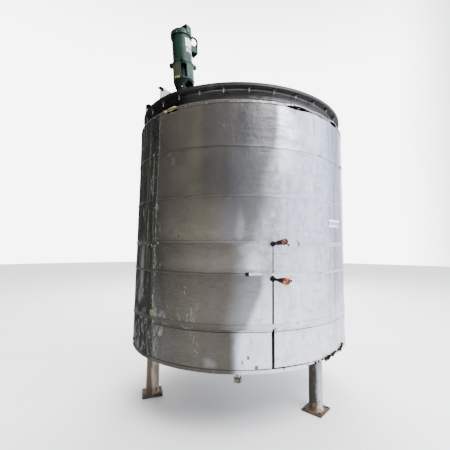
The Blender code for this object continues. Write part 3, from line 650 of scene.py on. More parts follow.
PAINT = {
    "clad": cladding_paint(),
    "strips": strips_paint(),
    "edge": edge_paint(),
    "clip": plain_paint("bright_strap_tail", (0.8, 0.82, 0.86), (0.66, 0.67, 0.7), 0.32, 0.85),
    "wall": wall_paint(),
    "shell": steel_paint("vessel_steel", (0.085, 0.085, 0.09), (0.045, 0.04, 0.036), 0.0, 0.42, 0.75),
    "seam": patched_paint("seam_edge_steel", (0.07, 0.066, 0.056), 0.3, 0.55, (
        ((7.0, 1.0, 7.0, 0.7), (0.5, 0.6), (0.028, 0.027, 0.022), 0.7),
        ((16.0, 1.0, 7.0, 0.7), (0.52, 0.6), (0.25, 0.24, 0.205), 0.5)), (60.0, 1.0, 5.0, 0.0012)),
    # Darkened as painted shade for the coupling inside the lantern
    "coupling": steel_paint("dark_coupling_steel", (0.05, 0.06, 0.066), (0.015, 0.015, 0.015), 0.0, 0.5, 0.6),
    "bright": steel_paint("agitator_steel", (0.42, 0.42, 0.43), (0.12, 0.11, 0.1), 0.05, 0.35, 0.9),
    "bolt": steel_paint("bolt_steel", (0.3, 0.29, 0.28), (0.09, 0.08, 0.07), 0.25, 0.45, 0.8),
    "cap": steel_paint("drain_cap_steel", (0.2, 0.19, 0.18), (0.03, 0.025, 0.02), 0.1, 0.4, 0.7),
    "flange": flange_paint(),
    "bridge": bridge_paint(),
    "green": green_paint(),
    "lantern": lantern_paint(),
    "cage": cage_paint(),
    "left_leg": leg_paint("left_leg_paint", (0.42, 0.355, 0.28), (0.22, 0.165, 0.11), (0.1, 0.075, 0.05),
                          (-0.92, -0.35, 0.0)),
    "right_leg": leg_paint("right_leg_paint", (0.4, 0.4, 0.41), (0.33, 0.325, 0.325), (0.026, 0.022, 0.017),
                           (-0.85, -0.1, 0.0)),
    "plate": patched_paint("rusty_plate", (0.05, 0.036, 0.026), 0.1, 0.85, (
        ((14.0, 1.0, 8.0, 0.7), (0.42, 0.6), (0.095, 0.062, 0.038), 0.9),
        ((22.0, 1.0, 8.0, 0.7), (0.56, 0.66), (0.17, 0.14, 0.105), 0.9),
        ((9.0, 1.0, 6.0, 0.6), (0.6, 0.68), (0.03, 0.022, 0.016), 0.8)), (45.0, 1.0, 6.0, 0.7, 0.0022)),
    "copper": patched_paint("copper_head", (0.5, 0.19, 0.085), 0.8, 0.26, (
        ((55.0, 1.0, 6.0), (0.46, 0.6), (0.17, 0.045, 0.018), 0.42),
        ((34.0, 1.0, 6.0, 0.7), (0.48, 0.56), (0.014, 0.009, 0.007), 0.6, 0.1)), (150.0, 1.0, 4.0, 0.0003)),
    "black": plain_paint("black_fitting", (0.006, 0.006, 0.006), (0.018, 0.016, 0.014), 0.6, gloss=0.06),
    "soot": plain_paint("sooty_head", (0.0042, 0.0032, 0.0028), (0.022, 0.009, 0.005), 0.6, 0.0, 0.05, 25.0),
    "rubber": plain_paint("black_lead", (0.007, 0.0055, 0.005), (0.018, 0.014, 0.012), 0.7, 0.0, 0.0, 60.0),
    "mastic_and_shade": plain_paint("black_joint_and_shade", (0.006, 0.006, 0.006), (0.016, 0.014, 0.012), 0.9, gloss=0.05),
    "wool": patched_paint("mineral_wool", (0.46, 0.4, 0.13), 0.0, 0.95, (
        ((60.0, 0.2, 7.0, 0.7), (0.42, 0.6), (0.6, 0.54, 0.25), 0.95),
        ((16.0, 1.0, 7.0, 0.7), (0.54, 0.66), (0.1, 0.085, 0.05), 0.95)), (150.0, 0.4, 6.0, 0.75, 0.004)),
    "sealant": plain_paint("old_sealant", (0.25, 0.24, 0.21), (0.07, 0.065, 0.05), 0.8, 0.0, 0.1, 60.0, 0.003),
    "label": label_paint("white_label", (0.8, 0.81, 0.84), (0.3, 0.3, 0.33)),
    "label_blue": label_paint("pale_blue_label", (0.4, 0.46, 0.56), (0.2, 0.22, 0.3)),
    "yellow": plain_paint("yellow_strip", (0.34, 0.28, 0.06), (0.12, 0.1, 0.03), 0.6),
    "nut": plain_paint("black_nut", (0.016, 0.015, 0.014), (0.045, 0.038, 0.032), 0.5, 0.4),
    "stud": plain_paint("zinc_stud", (0.21, 0.21, 0.205), (0.12, 0.115, 0.105), 0.6, 0.1),
    # The seal housing and the shaft are darkened as painted shade inside the pedestal and lantern
    "inner": plain_paint("dark_seal_housing", (0.01, 0.012, 0.014), (0.025, 0.03, 0.036), 0.5, gloss=0.3),
    "agitator": steel_paint("impeller_steel", (0.13, 0.135, 0.14), (0.05, 0.048, 0.045), 0.0, 0.4, 0.85),
}


def new_object(name, data):
    """Link new data to the scene."""
    made = bpy.data.objects.new(name, data)
    bpy.context.collection.objects.link(made)
    return made


def show(name, data, paint, node, body):
    """Put a mesh or curve in the scene, with its material and body, and the CAD node it replaces."""
    data.materials.append(PAINT[paint])
    made = new_object(name, data)
    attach(made, body)
    if node:
        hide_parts(node)
    return made


def piece(name, bm, paint, slot, node=None, body="tank", angle=35.0):
    """Turn a bmesh into a piece of the tank, sharp where its faces meet at more than an angle."""
    bmesh.ops.recalc_face_normals(bm, faces=bm.faces)
    mesh = bpy.data.meshes.new(name)
    bm.to_mesh(mesh)
    bm.free()
    mesh.shade_smooth()
    mesh.set_sharp_from_angle(angle=math.radians(angle))
    return show(name, mesh, paint, node, body)


def tube(name, points, radius, paint, node=None, resolution=4):
    """A round bar or lead along points, as a curve with closed ends."""
    data = bpy.data.curves.new(name, "CURVE")
    data.dimensions = "3D"
    data.bevel_depth = radius
    data.bevel_resolution = resolution
    data.use_fill_caps = True
    line = data.splines.new("POLY")
    line.points.add(len(points) - 1)
    for point, place in zip(line.points, points):
        point.co = (*place, 1.0)
    return show(name, data, paint, node, "tank")


def skin(bm, rows, place=PLAIN, closed=False, ends=None):
    """Faces between rings of points, the last joined to the first if closed. A ring may be one point.

    Open ends are left so, closed by one flat face, or by a ladder of faces across a folded section.
    """
    rows = [[bm.verts.new(place @ Vector(point)) for point in row] for row in rows]
    for low, high in zip(rows, rows[1:] + rows[:1] * closed):
        count = max(len(low), len(high))
        for step in range(count):
            corners = [low[i % len(low)] for i in (step, (step + 1) % count)]
            corners += [high[i % len(high)] for i in ((step + 1) % count, step)]
            bm.faces.new(tuple(dict.fromkeys(corners)))
    for row in (rows[0], rows[-1]):
        if ends == "flat":
            bm.faces.new(row)
        elif ends == "ladder":
            for step in range(len(row) // 2 - 1):
                bm.faces.new((row[step], row[step + 1], row[-2 - step], row[-1 - step]))
    return bm


def circle(radius, z, sides, corner=0.0):
    """Points round Z at a height, or one point on it."""
    turns = [TAU * (step + corner) / sides for step in range(sides if radius > 0.0 else 1)]
    return [(radius * math.cos(turn), radius * math.sin(turn), z) for turn in turns]


def revolve(bm, profile, sides, place=PLAIN):
    """Spin an outline of (radius, height) points about Z; one that ends on the axis is closed there."""
    rows = [circle(radius, height, sides) for radius, height in profile]
    return skin(bm, rows, place, closed=profile[0][0] + profile[-1][0] > 0.0)


def turned(name, profile, sides, place, *more):
    """A piece that is one outline spun about Z."""
    piece(name, revolve(bmesh.new(), profile, sides, place), *more)


def disc(bm, radius, low, high, sides, place):
    """A round bar or washer between two heights."""
    return revolve(bm, [(0, low), (radius, low), (radius, high), (0, high)], sides, place)


def block(bm, low, high, place=PLAIN, bevel=0.0):
    """A box between two corners, its edges rounded by a bevel."""
    low, high = Vector(low), Vector(high)
    matrix = place @ Matrix.Translation((high + low) / 2.0) @ Matrix.Diagonal((*(high - low), 1.0))
    verts = bmesh.ops.create_cube(bm, size=1.0, matrix=matrix)["verts"]
    if bevel > 0.0:
        edges = list({edge for vert in verts for edge in vert.link_edges})
        bmesh.ops.bevel(bm, geom=edges, offset=bevel, segments=2, affect="EDGES", profile=0.6)


def prism(bm, outline, low, high, place):
    """An outline of (x, y) points extruded along Z."""
    skin(bm, [[(x, y, z) for x, y in outline] for z in (low, high)], place, ends="flat")


def hex_head(bm, place, radius, height, corner=0.0):
    """A hexagon head with its top corners turned off, standing on Z = 0 of its place."""
    rows = ((radius, 0.0), (radius, height * 0.82), (radius * 0.84, height))
    skin(bm, [circle(r, z, 6, corner) for r, z in rows], place, ends="flat")


def bolt(bm, place, radius, stud=0.0):
    """A washer, a nut or head, and the end of a stud that stands out of it."""
    disc(bm, radius * 1.22, 0.0, radius * 0.16, 16, place)
    hex_head(bm, place @ shift(0, 0, radius * 0.16), radius, radius * 0.95)
    if stud > 0.0:
        end = radius * 1.1 + stud
        revolve(bm, [(0, radius), (radius * 0.56, radius), (radius * 0.56, end - 0.002), (radius * 0.48, end),
                     (0, end)], 12, place)


def strip(bm, start, end, low, high, radius, columns, rows, thick):
    """A curved sheet between two azimuths; low, high and radius are numbers, or functions of the place."""
    def measure(value, *where):
        return value(*where) if callable(value) else value

    whole = abs(end - start - 360.0) < 1e-6
    rings = []
    for i in range(columns if whole else columns + 1):
        t = i / columns
        az = start + (end - start) * t
        bottom, top = measure(low, az), measure(high, az)
        levels = [bottom + (top - bottom) * j / rows for j in range(rows + 1)]
        outer = [(z, measure(radius, az, z, t)) for z in levels]
        rings.append([around(az, z, r) for z, r in outer] + [around(az, z, r - thick) for z, r in outer[::-1]])
    return skin(bm, rings, closed=whole, ends=None if whole else "ladder")


# Dents in the cladding, as (azimuth, height, half width in degrees, half height, depth)
DENTS = (
    (-9.0, 2.2, 9.0, 0.22, 0.006), (5.0, 1.86, 8.0, 0.2, -0.004), (27.0, 2.75, 9.0, 0.12, 0.005),
    (24.0, 1.18, 8.0, 0.16, 0.0045), (4.0, 1.52, 7.0, 0.1, -0.0045), (-6.0, 0.76, 7.0, 0.16, -0.006),
    (44.0, 1.2, 10.0, 0.2, 0.005), (-52.0, 0.8, 8.0, 0.15, 0.006), (-24.0, 0.72, 9.0, 0.1, 0.004),
    (95.0, 1.1, 12.0, 0.25, 0.007), (150.0, 2.3, 10.0, 0.2, 0.006), (-130.0, 0.95, 12.0, 0.2, 0.008),
    (178.0, 1.45, 8.0, 0.12, 0.005), (-100.0, 2.3, 9.0, 0.2, 0.005), (70.0, 0.75, 9.0, 0.12, 0.006),
    (-160.0, 1.8, 9.0, 0.15, 0.006), (120.0, 0.7, 8.0, 0.12, 0.008), (33.0, 2.3, 7.0, 0.16, 0.004))
# Where the bottom edge is torn up and the top edge peeled down, as (depth, azimuth, half width)
BITES = (
    (0.016, 31.0, 3.2), (0.03, 35.2, 1.4), (0.034, 38.6, 2.4), (0.04, 43.6, 2.2), (0.018, 47.5, 1.0),
    (0.058, 51.2, 2.6), (0.03, 56.5, 2.0), (0.03, -148.0, 3.0), (0.045, 121.0, 4.0), (0.02, 126.0, 1.5),
    (0.02, -172.0, 1.6))
DEEP_PEELS = ((0.026, 24.0, 6.5), (0.024, 50.5, 5.0), (0.03, -32.5, 5.0))
PEELS = ((0.01, 31.5, 5.5), (0.012, -62.0, 6.0), (0.014, 140.0, 8.0), (0.016, -150.0, 6.0))


def humps(x, places, power=1.0):
    """The sum of humps, each given as (height, middle, width)."""
    return sum(tall * hump(x, middle, wide) ** power for tall, middle, wide in places)


def sag(az, z):
    """How far the cladding stands out of its true circle: waves in each course, dents, pulled in at bands."""
    edges = (CLAD_TOP, *JOINTS, CLAD_BOTTOM)
    course = next((i for i in range(6) if z >= edges[i + 1]), 5)
    t = min(1.0, max(0.0, (z - edges[course + 1]) / (edges[course] - edges[course + 1])))
    turn = math.radians(az)
    loop = Vector((math.sin(turn), math.cos(turn), 0.0))
    wave = noise.noise(loop * 2.2 + UP * (course * 3.7))
    wave += 0.5 * noise.noise(loop * 5.0 + UP * (course * 5.1 + z * 1.2))
    small = noise.noise(loop * 11.0 + UP * (z * 5.0))
    out = math.sin(math.pi * t) ** 0.8 * (0.0015 + 0.0045 * wave + 0.0008 * small)
    for middle, height, wide, tall, depth in DENTS:
        out -= depth * hump(wrapped(az - middle), 0.0, wide) * hump(z, height, tall)
    return out


def torn_bottom(az):
    """How far the bottom edge is torn up, in metres, at an azimuth."""
    bite = max(deep * hump(az, middle, wide) ** 0.5 for deep, middle, wide in BITES)
    return bite + (0.003 * abs(wander(az * 0.9, 0.0, 2.0)) if bite > 0.0 else 0.0)


def torn_top(az):
    """How far the top edge of the cladding is peeled down at an azimuth."""
    return (humps(az, DEEP_PEELS, 0.6) + humps(az, PEELS)) * (1.0 + 0.3 * wander(az * 1.6, 0.0, 11.0))


def make_course(number, top, low, seam, lap):
    """One ring of cladding: a sheet whose ends lap at a seam, or stand open where lap is below zero."""
    def bottom(az):
        if number == 6:
            gap = 0.0035 + 0.006 * hump(wrapped(az), 18.0, 16.0)
            return low + max(0.031 + gap, torn_bottom(wrapped(az))) + 0.0012 * wander(az * 0.35, 0.0, 4.0)
        return low - 0.012 + 0.0015 * wander(az * 0.3, 0.0, number)

    def crest(az):
        return top - torn_top(wrapped(az)) + 0.002 * wander(az * 0.5, 0.0, 9.0) if number == 1 else top

    def radius(az, z, t):
        at = wrapped(az)
        out = CLAD_R + sag(at, z) - 0.001
        if number < 6:
            out += (0.007 if number == 5 else 0.0025) * ease(z, low + 0.05, low - 0.012)
        elif torn_bottom(at) > 0.004:
            out += 0.01 * wander(at * 0.7, 0.0, 5.0) * ease(z, low + 0.09, low)
        if number == 1:
            peel = humps(at, ((1.0, 24.5, 8.0), (0.7, 51.0, 7.0), (0.8, -32.5, 6.0)))
            out += 0.01 * peel * ease(z, top - 0.1, top)
            crease = 0.0022 * wander(at * 0.55, z * 14.0, 15.0) * ease(z, top - 0.16, top - 0.03)
            out += crease * (0.35 + hump(at, 35.0, 25.0))
        if lap > 0.0:
            out += 0.0026 * ease(t, 1.0 - 5.0 * lap / 360.0, 1.0 - 2.0 * lap / 360.0)
        elif number == 6:
            out += 0.006 * ease(t, 0.9935, 1.0) * ease(z, 0.9, 0.65)
        return out

    start = seam - lap / 2.0
    bm = strip(bmesh.new(), start, start + 360.0 + lap, bottom, crest, radius, 300, 14, 0.0011)
    piece(f"cladding_sheet_{number}", bm, "clad", "cladding_sheet", f"cladding_course_{number}")


def make_cladding():
    """The six courses, the wool behind them and a black sheet of painted shade that shows through the joint and
    the tears.
    """
    tops, lows = (CLAD_TOP - 0.004, *JOINTS), (*JOINTS, CLAD_BOTTOM)
    joints = [(LAP_AZ, 1.6)] * 3 + [(GAP_AZ, -0.45), (GAP_AZ, -0.75), (GAP_AZ, -1.25)]
    for number, (top, low, joint) in enumerate(zip(tops, lows, joints), start=1):
        make_course(number, top, low, *joint)
    low, high, outside, thick = 0.592, 2.925, 1.2295, 0.023
    bm = strip(bmesh.new(), -180.0, 180.0, lambda az: low + 0.004 * wander(az * 0.5), high,
               lambda az, z, t: outside + 0.003 * wander(az * 0.2, z * 4.0, 2.0), 180, 24, thick)
    piece("wool_blanket", bm, "wool", "insulation_wool", "insulation")
    # Painted shade: black strips behind the open joint, along the bottom and behind the torn edges
    foot = CLAD_BOTTOM + 0.022
    bm = strip(bmesh.new(), GAP_AZ - 2.0, GAP_AZ + 2.0, foot, JOINTS[2] - 0.004,
               lambda az, z, t: CLAD_R - 0.0035 + min(0.0, sag(GAP_AZ, z)), 4, 30, 0.001)
    strip(bm, -180.0, 180.0, CLAD_BOTTOM + 0.024, CLAD_BOTTOM + 0.06, CLAD_R - 0.0065, 180, 1, 0.001)
    for place in ((25.0, 62.0, foot, CLAD_BOTTOM + 0.1), (112.0, 130.0, foot, CLAD_BOTTOM + 0.1),
                  (15.0, 60.0, CLAD_TOP - 0.075, CLAD_TOP - 0.005)):
        strip(bm, *place, CLAD_R - 0.009, 40, 1, 0.001)
    piece("black_backing", bm, "mastic_and_shade", "dark_fitting")


def make_seams():
    """Upright cover strips and the raised edges of the sheets, where they meet."""
    bm = strip(bmesh.new(), -40.52, -40.1, JOINTS[2] + 0.004, CLAD_TOP - 0.02,
               lambda az, z, t: CLAD_R + 0.0035 + sag(az, z) + 0.0008 * wander(z * 9.0), 2, 60, 0.0022)
    piece("lapped_edge", bm, "seam", "cladding_sheet")
    bm = bmesh.new()
    for middle, low, high in ((101.0, JOINTS[0], CLAD_TOP - 0.02), (99.0, JOINTS[2], JOINTS[0]),
                              (-140.0, JOINTS[2], CLAD_TOP - 0.02), (-118.0, CLAD_BOTTOM + 0.03, JOINTS[2]),
                              (141.0, CLAD_BOTTOM + 0.03, JOINTS[2])):
        strip(bm, middle - 1.0, middle + 1.0, low + 0.018, high - 0.018,
              lambda az, z, t: CLAD_R + 0.0018 + sag(az, z), 4, 24, 0.0012)
    piece("upright_seams", bm, "edge", "cladding_sheet")
    bm = strip(bmesh.new(), -180.0, 180.0, lambda az: 0.9125 + 0.0016 * wander(az * 0.2, 0.0, 1.0), 0.9205,
               lambda az, z, t: CLAD_R + 0.0012 + sag(az, 0.92), 300, 1, 0.001)
    piece("shadowed_joint", bm, "mastic_and_shade", "dark_fitting")


def make_band(number, middle, high, buckles, paint):
    """A hoop band with two folded buckles."""
    def radius(az, z, t):
        off = abs(z - middle) / (high / 2.0)
        bead = 0.0008 * hump(off, 0.82, 0.22) if number in (3, 5) else 0.0006 * max(0.0, 1.0 - off * off)
        pulled = max(-0.0008, 0.35 * sag(az, middle + 0.01))
        return CLAD_R + 0.003 + pulled + bead + 0.0007 * wander(az * 0.25, 0.0, number)

    def edge(side):
        return lambda az: middle + side * high / 2.0 + 0.0012 * wander(az * 0.12, 0.0, 3.0)

    bm = strip(bmesh.new(), -180.0, 180.0, edge(-1), edge(1), radius, 300, 10, 0.0012)
    piece(f"hoop_strap_{number}", bm, "edge", "cladding_sheet", f"hoop_band_{number}")
    bm = bmesh.new()
    tall = min(high, 0.026) / 2.0 + 0.005
    for az in buckles:
        place = on_tank(az, middle, CLAD_R + 0.0035)
        block(bm, (-0.016, -tall, 0.0), (0.016, tall, 0.006), place, 0.0015)
        for x in (-0.0105, 0.0055):
            block(bm, (x, -tall - 0.0015, 0.004), (x + 0.005, tall + 0.0015, 0.01), place, 0.001)
    piece(f"strap_buckle_{number}", bm, paint, "cladding_sheet")


def make_bands():
    """Hoop bands at the joints between the courses, a strap's loose tail and a clip."""
    make_band(1, JOINTS[0], 0.013, (-118.0, 62.0), "bolt")
    make_band(2, JOINTS[1], 0.013, (-150.0, 96.0), "bolt")
    make_band(3, JOINTS[2], 0.046, (LAP_AZ, 118.0), "nut")
    make_band(4, JOINTS[3] - 0.004, 0.02, (2.6, -128.0), "black")
    make_band(5, JOINTS[4] + 0.025, 0.042, (-95.0, 160.0), "bolt")
    bm = strip(bmesh.new(), 3.3, 8.3, lambda az: JOINTS[3] - 0.014 + 0.0006 * (az - 3.3), JOINTS[3] + 0.006,
               lambda az, z, t: CLAD_R + 0.0046 + 0.004 * ease(t, 0.6, 1.0), 14, 2, 0.0012)
    piece("strap_tail", bm, "clip", "cladding_sheet")
    bm, place = bmesh.new(), on_tank(13.9, 0.925, CLAD_R + 0.004, 0.12)
    block(bm, (-0.012, -0.02, 0.0), (0.012, 0.02, 0.007), place, 0.002)
    block(bm, (-0.004, -0.024, 0.004), (0.004, 0.024, 0.01), place, 0.0012)
    piece("seam_clip", bm, "bolt", "cladding_sheet")


# Old sealant on the lapped joint, as (azimuth, height, size)
SEALANT = (
    (-39.0, 2.962, 0.02), (-40.0, 2.95, 0.015), (-41.2, 2.53, 0.01), (-44.8, 2.54, 0.016),
    (-40.6, 2.03, 0.02), (-41.5, 2.0, 0.014), (-40.0, 1.99, 0.012), (-41.0, 1.655, 0.024),
    (-43.6, 1.64, 0.018), (-38.8, 1.662, 0.014), (-41.4, 1.6, 0.015), (-40.6, 1.545, 0.012),
    (-41.2, 1.49, 0.013), (-40.0, 1.43, 0.012), (-47.0, 1.645, 0.014), (-50.0, 1.66, 0.01))


def tuft(bm, az, z, r, size, seed, flat=0.8):
    """A lump with a rough surface, flattened against the tank."""
    place = facing(around(az, z, r), outward(seed))
    for vert in bmesh.ops.create_icosphere(bm, subdivisions=3, radius=1.0)["verts"]:
        rough = 1.0 + 0.35 * noise.noise(vert.co * 2.1 + Vector((seed, 0, 0)))
        rough += 0.18 * noise.noise(vert.co * 6.0 + Vector((0, seed, 0)))
        vert.co = place @ (Vector((vert.co.x, vert.co.y, vert.co.z * flat)) * (size * rough))


def make_flashing():
    """The slanted ring that closes the top, its lip crumpled and torn, and the wool and sealant by it."""
    rings, columns = [], 540
    for i in range(columns):
        az = -180.0 + 360.0 * i / columns
        ripple = 0.0022 * wander(az * 0.35, 0.0, 1.0) + 0.0012 * wander(az * 1.1, 0.0, 6.0)
        lift = humps(az, ((0.012, 25.5, 9.0), (0.01, 51.0, 6.0), (0.008, -32.5, 6.0), (0.003, 13.5, 2.0),
                          (0.006, 38.0, 6.0)))
        torn = humps(az, ((1.0, 25.5, 9.0), (1.0, 51.0, 6.0), (0.5, 38.0, 7.0)))
        crumple = 0.003 * wander(az * 2.3, 0.0, 12.0) * min(1.0, 0.35 + torn)
        lip = 0.009 + 0.004 * wander(az * 0.22, 0.0, 3.0) + 0.006 * hump(az, 40.0, 4.0) - 0.012 * min(1.0, torn)
        gone = hump(az, -32.5, 3.6)
        out = CLAD_R + 0.0022 + lift * 0.9 + crumple
        shoulder = CLAD_TOP + 0.014 + ripple + 0.6 * lift - 0.016 * gone
        edge = CLAD_TOP - lip - crumple + ripple + 0.3 * lift
        section = [(out + 0.002, edge), (out + 0.0004, edge + 0.0035),
                   (out + 0.3 * crumple, CLAD_TOP + 0.004 + lift), (out - 0.0004, shoulder - 0.003),
                   (out - 0.003, shoulder + 0.0012), (1.24 + crumple, shoulder + 0.0085),
                   (1.208, 2.986 + 0.5 * ripple - 0.006 * gone), (1.175, 2.9915), (SHELL_R + 0.0005, 2.993)]
        section += [(r - 0.001, z - 0.0012) for r, z in section[::-1]]
        rings.append([around(az, z, r) for r, z in section])
    bm = skin(bmesh.new(), rings, closed=True)
    piece("torn_flashing", bm, "edge", "cladding_sheet", "top_flashing", angle=50.0)

    def fray(az, z=0.0):
        return 0.0025 * wander(az * 2.2, z * 60.0, 5.0)

    start, end = -37.2, -29.6
    bm = strip(bmesh.new(), start, end, lambda az: 2.93 + 0.0012 * (az - start) + fray(az),
               lambda az: 2.946 + 0.0034 * (az - start) - 0.02 * ease(az, -31.5, end) + 2.0 * fray(az, 1.0),
               lambda az, z, t: 1.256 - 0.25 * max(0.0, z - 2.944) + 0.5 * fray(az, z), 40, 8, 0.012)
    for az, z, size in ((101.0, 2.94, 0.012), (-151.0, 2.938, 0.014), (140.0, 2.939, 0.014)):
        tuft(bm, az, z, 1.246, size, az)
    piece("wool_tufts", bm, "wool", "insulation_wool")
    bm = bmesh.new()
    for az, z, size in SEALANT:
        on_sheet = z < 2.9
        tuft(bm, az, z, CLAD_R + (0.003 if on_sheet else -0.012), size * 0.55, az, 0.35)
        tuft(bm, az + 0.35, z - size * 0.8, CLAD_R + (0.002 if on_sheet else -0.012), size * 0.4, az + 3.0, 0.3)
    piece("old_sealant", bm, "sealant", "cladding_sheet")


# Torn scraps at the bottom edge, as (azimuth, height, lean, size)
SCRAPS = (
    (32.6, 0.603, 0.9, 0.013), (34.4, 0.607, 1.0, 0.01), (39.4, 0.606, 0.9, 0.024), (41.2, 0.612, 1.0, 0.026),
    (44.6, 0.62, 1.0, 0.024), (46.6, 0.632, 1.1, 0.018), (53.2, 0.628, 1.2, 0.032), (55.0, 0.655, 1.2, 0.026),
    (36.8, 0.611, 0.4, 0.009), (119.0, 0.62, 0.5, 0.02), (124.0, 0.61, -0.5, 0.02))
SCRAP_OUTLINE = ((-1.0, -0.8), (0.6, -1.0), (1.0, 0.2), (0.2, 0.9), (-0.7, 0.5))


def make_trim():
    """The ring of bent sheet along the bottom edge, torn away in places on the right."""
    def low(az):
        return CLAD_BOTTOM + torn_bottom(az) * 1.15 + 0.0012 * wander(az * 0.4, 0.0, 8.0)

    def high(az):
        return max(CLAD_BOTTOM + 0.031 + 0.0012 * wander(az * 0.2, 0.0, 7.0), low(az) + 0.003)

    def radius(az, z, t):
        fold = 0.0014 * ease(z, CLAD_BOTTOM + 0.022, CLAD_BOTTOM + 0.031)
        ragged = 0.006 * wander(az * 0.9, z * 20.0, 5.0) if torn_bottom(az) > 0.004 else 0.0
        return CLAD_R + 0.002 + 0.6 * sag(az, CLAD_BOTTOM + 0.04) + fold + ragged

    bm = strip(bmesh.new(), -180.0, 180.0, low, high, radius, 480, 4, 0.001)
    piece("torn_bottom_trim", bm, "edge", "cladding_sheet", "bottom_trim_ring")
    bm = bmesh.new()
    for az, z, lean, size in SCRAPS:
        place = facing(around(az, z, CLAD_R + 0.01), outward(az - 22.0), lean)
        place = place @ Matrix.Rotation(0.15 * lean, 4, "X")
        prism(bm, [(x * size, y * size) for x, y in SCRAP_OUTLINE], 0.0, 0.0012, place)
    piece("torn_scraps", bm, "mastic_and_shade", "dark_fitting")


def make_rivets():
    """Pop rivets along the upright seams and screws in the flashing's lip."""
    bm = bmesh.new()
    upper, lower, spacing = (1.7, 2.9), (0.64, 1.63), 0.15
    for azimuths, (low, high) in (((LAP_AZ + 2.1, LAP_AZ - 1.2), upper), ((GAP_AZ - 1.4, GAP_AZ + 1.6), lower),
                                  ((100.0, -140.0), upper), ((-118.0, 141.0), lower)):
        gaps = int((high - low) / spacing)
        for az in azimuths:
            for step in range(gaps + 1):
                z = low + (high - low) * step / gaps
                place = on_tank(az, z, CLAD_R + sag(az, z) + 0.0008)
                revolve(bm, [(0, 0), (0.004, 0), (0.0036, 0.0012), (0.0018, 0.002), (0, 0.0021)], 8, place)
    for step in range(36):
        hex_head(bm, on_tank(-175.0 + 10.0 * step, CLAD_TOP - 0.009, CLAD_R + 0.003), 0.005, 0.004)
    piece("rivets_and_screws", bm, "bolt", "cladding_sheet")


def make_top():
    """The vessel's bare rim with its weld, its flange, the gasket, the cover and the ring of bolts."""
    turned("vessel_wall", [(1.146, 1.0203), (SHELL_R, 1.0203), (SHELL_R, 3.1135), (1.146, 3.1135)], 192, AXIS,
           "wall", "vessel_steel", "vessel_shell")
    rings = []
    for step in range(480):
        az = 0.75 * step
        bead = 1.0 + 0.16 * wander(az * 1.7, 0.0, 1.0) + 0.08 * math.sin(step * 1.9)
        rings.append([around(az, z, SHELL_R + r * bead) for r, z in (
            (0.0003, 3.0875), (0.004, 3.089), (0.0072, 3.094), (0.008, 3.0985), (0.0003, 3.0985))])
    piece("rim_weld", skin(bmesh.new(), rings, closed=True), "wall", "vessel_steel")
    inner = SHELL_R + 0.0041
    turned("rim_flange", [(inner, FLANGE_LOW), (FLANGE_R - 0.002, FLANGE_LOW), (FLANGE_R, FLANGE_LOW + 0.002),
                          (FLANGE_R, 3.112), (FLANGE_R - 0.0015, 3.1133), (inner, 3.1133)], 192, AXIS,
           "flange", "flange_steel", "body_flange")
    turned("cover_gasket", [(1.15, 3.1134), (FLANGE_R - 0.009, 3.1134), (FLANGE_R - 0.008, 3.1139),
                            (1.15, 3.1139)], 160, AXIS, "mastic_and_shade", "dark_fitting")
    make_cover()
    heads, nuts, studs = bmesh.new(), bmesh.new(), bmesh.new()
    count, first, circle_r = 32, 2.97, 1.2
    for step in range(count):
        az, corner = first + 360.0 / count * step, random.random()
        up = facing(around(az, COVER_TOP, circle_r), UP, corner)
        down = facing(around(az, FLANGE_LOW, circle_r), -UP, -corner)
        for bm, place, tall in ((heads, up, 0.0108), (nuts, down, 0.015)):
            disc(bm, 0.02, 0.0, 0.0022, 18, place)
            hex_head(bm, place @ shift(0, 0, 0.0022), 0.0165, tall)
        end = 0.046 + 0.008 * random.random()
        revolve(studs, [(0, 0.0172), (0.0062, 0.0172), (0.0062, end - 0.002), (0.005, end), (0, end)], 12, down)
    piece("flange_bolts", heads, "bolt", "flange_steel")
    piece("flange_nuts", nuts, "nut", "flange_steel")
    piece("flange_studs", studs, "stud", "flange_steel")
    make_hatch()


def make_cover():
    """The flat cover with the shaft's hole in it, and two lifting lugs."""
    sides = 192
    azimuths = [360.0 / sides * step for step in range(sides)]
    rings = [[around(az, z, r) for az in azimuths] for r, z in (
        (FLANGE_R, COVER_LOW), (FLANGE_R, COVER_TOP - 0.0015), (FLANGE_R - 0.0015, COVER_TOP))]
    for z in (COVER_TOP, COVER_LOW):
        rings.append([Vector((*MIXER_BASE.xy, z)) + outward(az) * SHAFT_HOLE_R for az in azimuths])
    piece("flat_cover", skin(bmesh.new(), rings, closed=True), "flange", "flange_steel", "cover_plate")
    # A lug is an arch of plate with a round hole, from the middle of its foot
    half, rise, eye, eye_r, thick = 0.05, 0.03, 0.034, 0.018, 0.006
    arch = [(-half, 0.0), (half, 0.0)]
    for turn in (math.pi * step / 10 for step in range(11)):
        arch.append((half * math.cos(turn), rise + half * math.sin(turn)))
    turns = [math.atan2(y - eye, x) for x, y in arch]
    hole = [(eye_r * math.cos(turn), eye + eye_r * math.sin(turn)) for turn in turns]
    rows = [[(x, y, z) for x, y in points] for points, z in (
        (arch, -thick), (arch, thick), (hole, thick), (hole, -thick))]
    bm = bmesh.new()
    for az in (75.0, -165.0):
        place = shift(*around(az, COVER_TOP + 0.0005, 1.02)) @ roll(az, "Z") @ roll(90.0, "X")
        skin(bm, rows, place, closed=True)
    piece("lifting_lugs", bm, "shell", "vessel_steel")


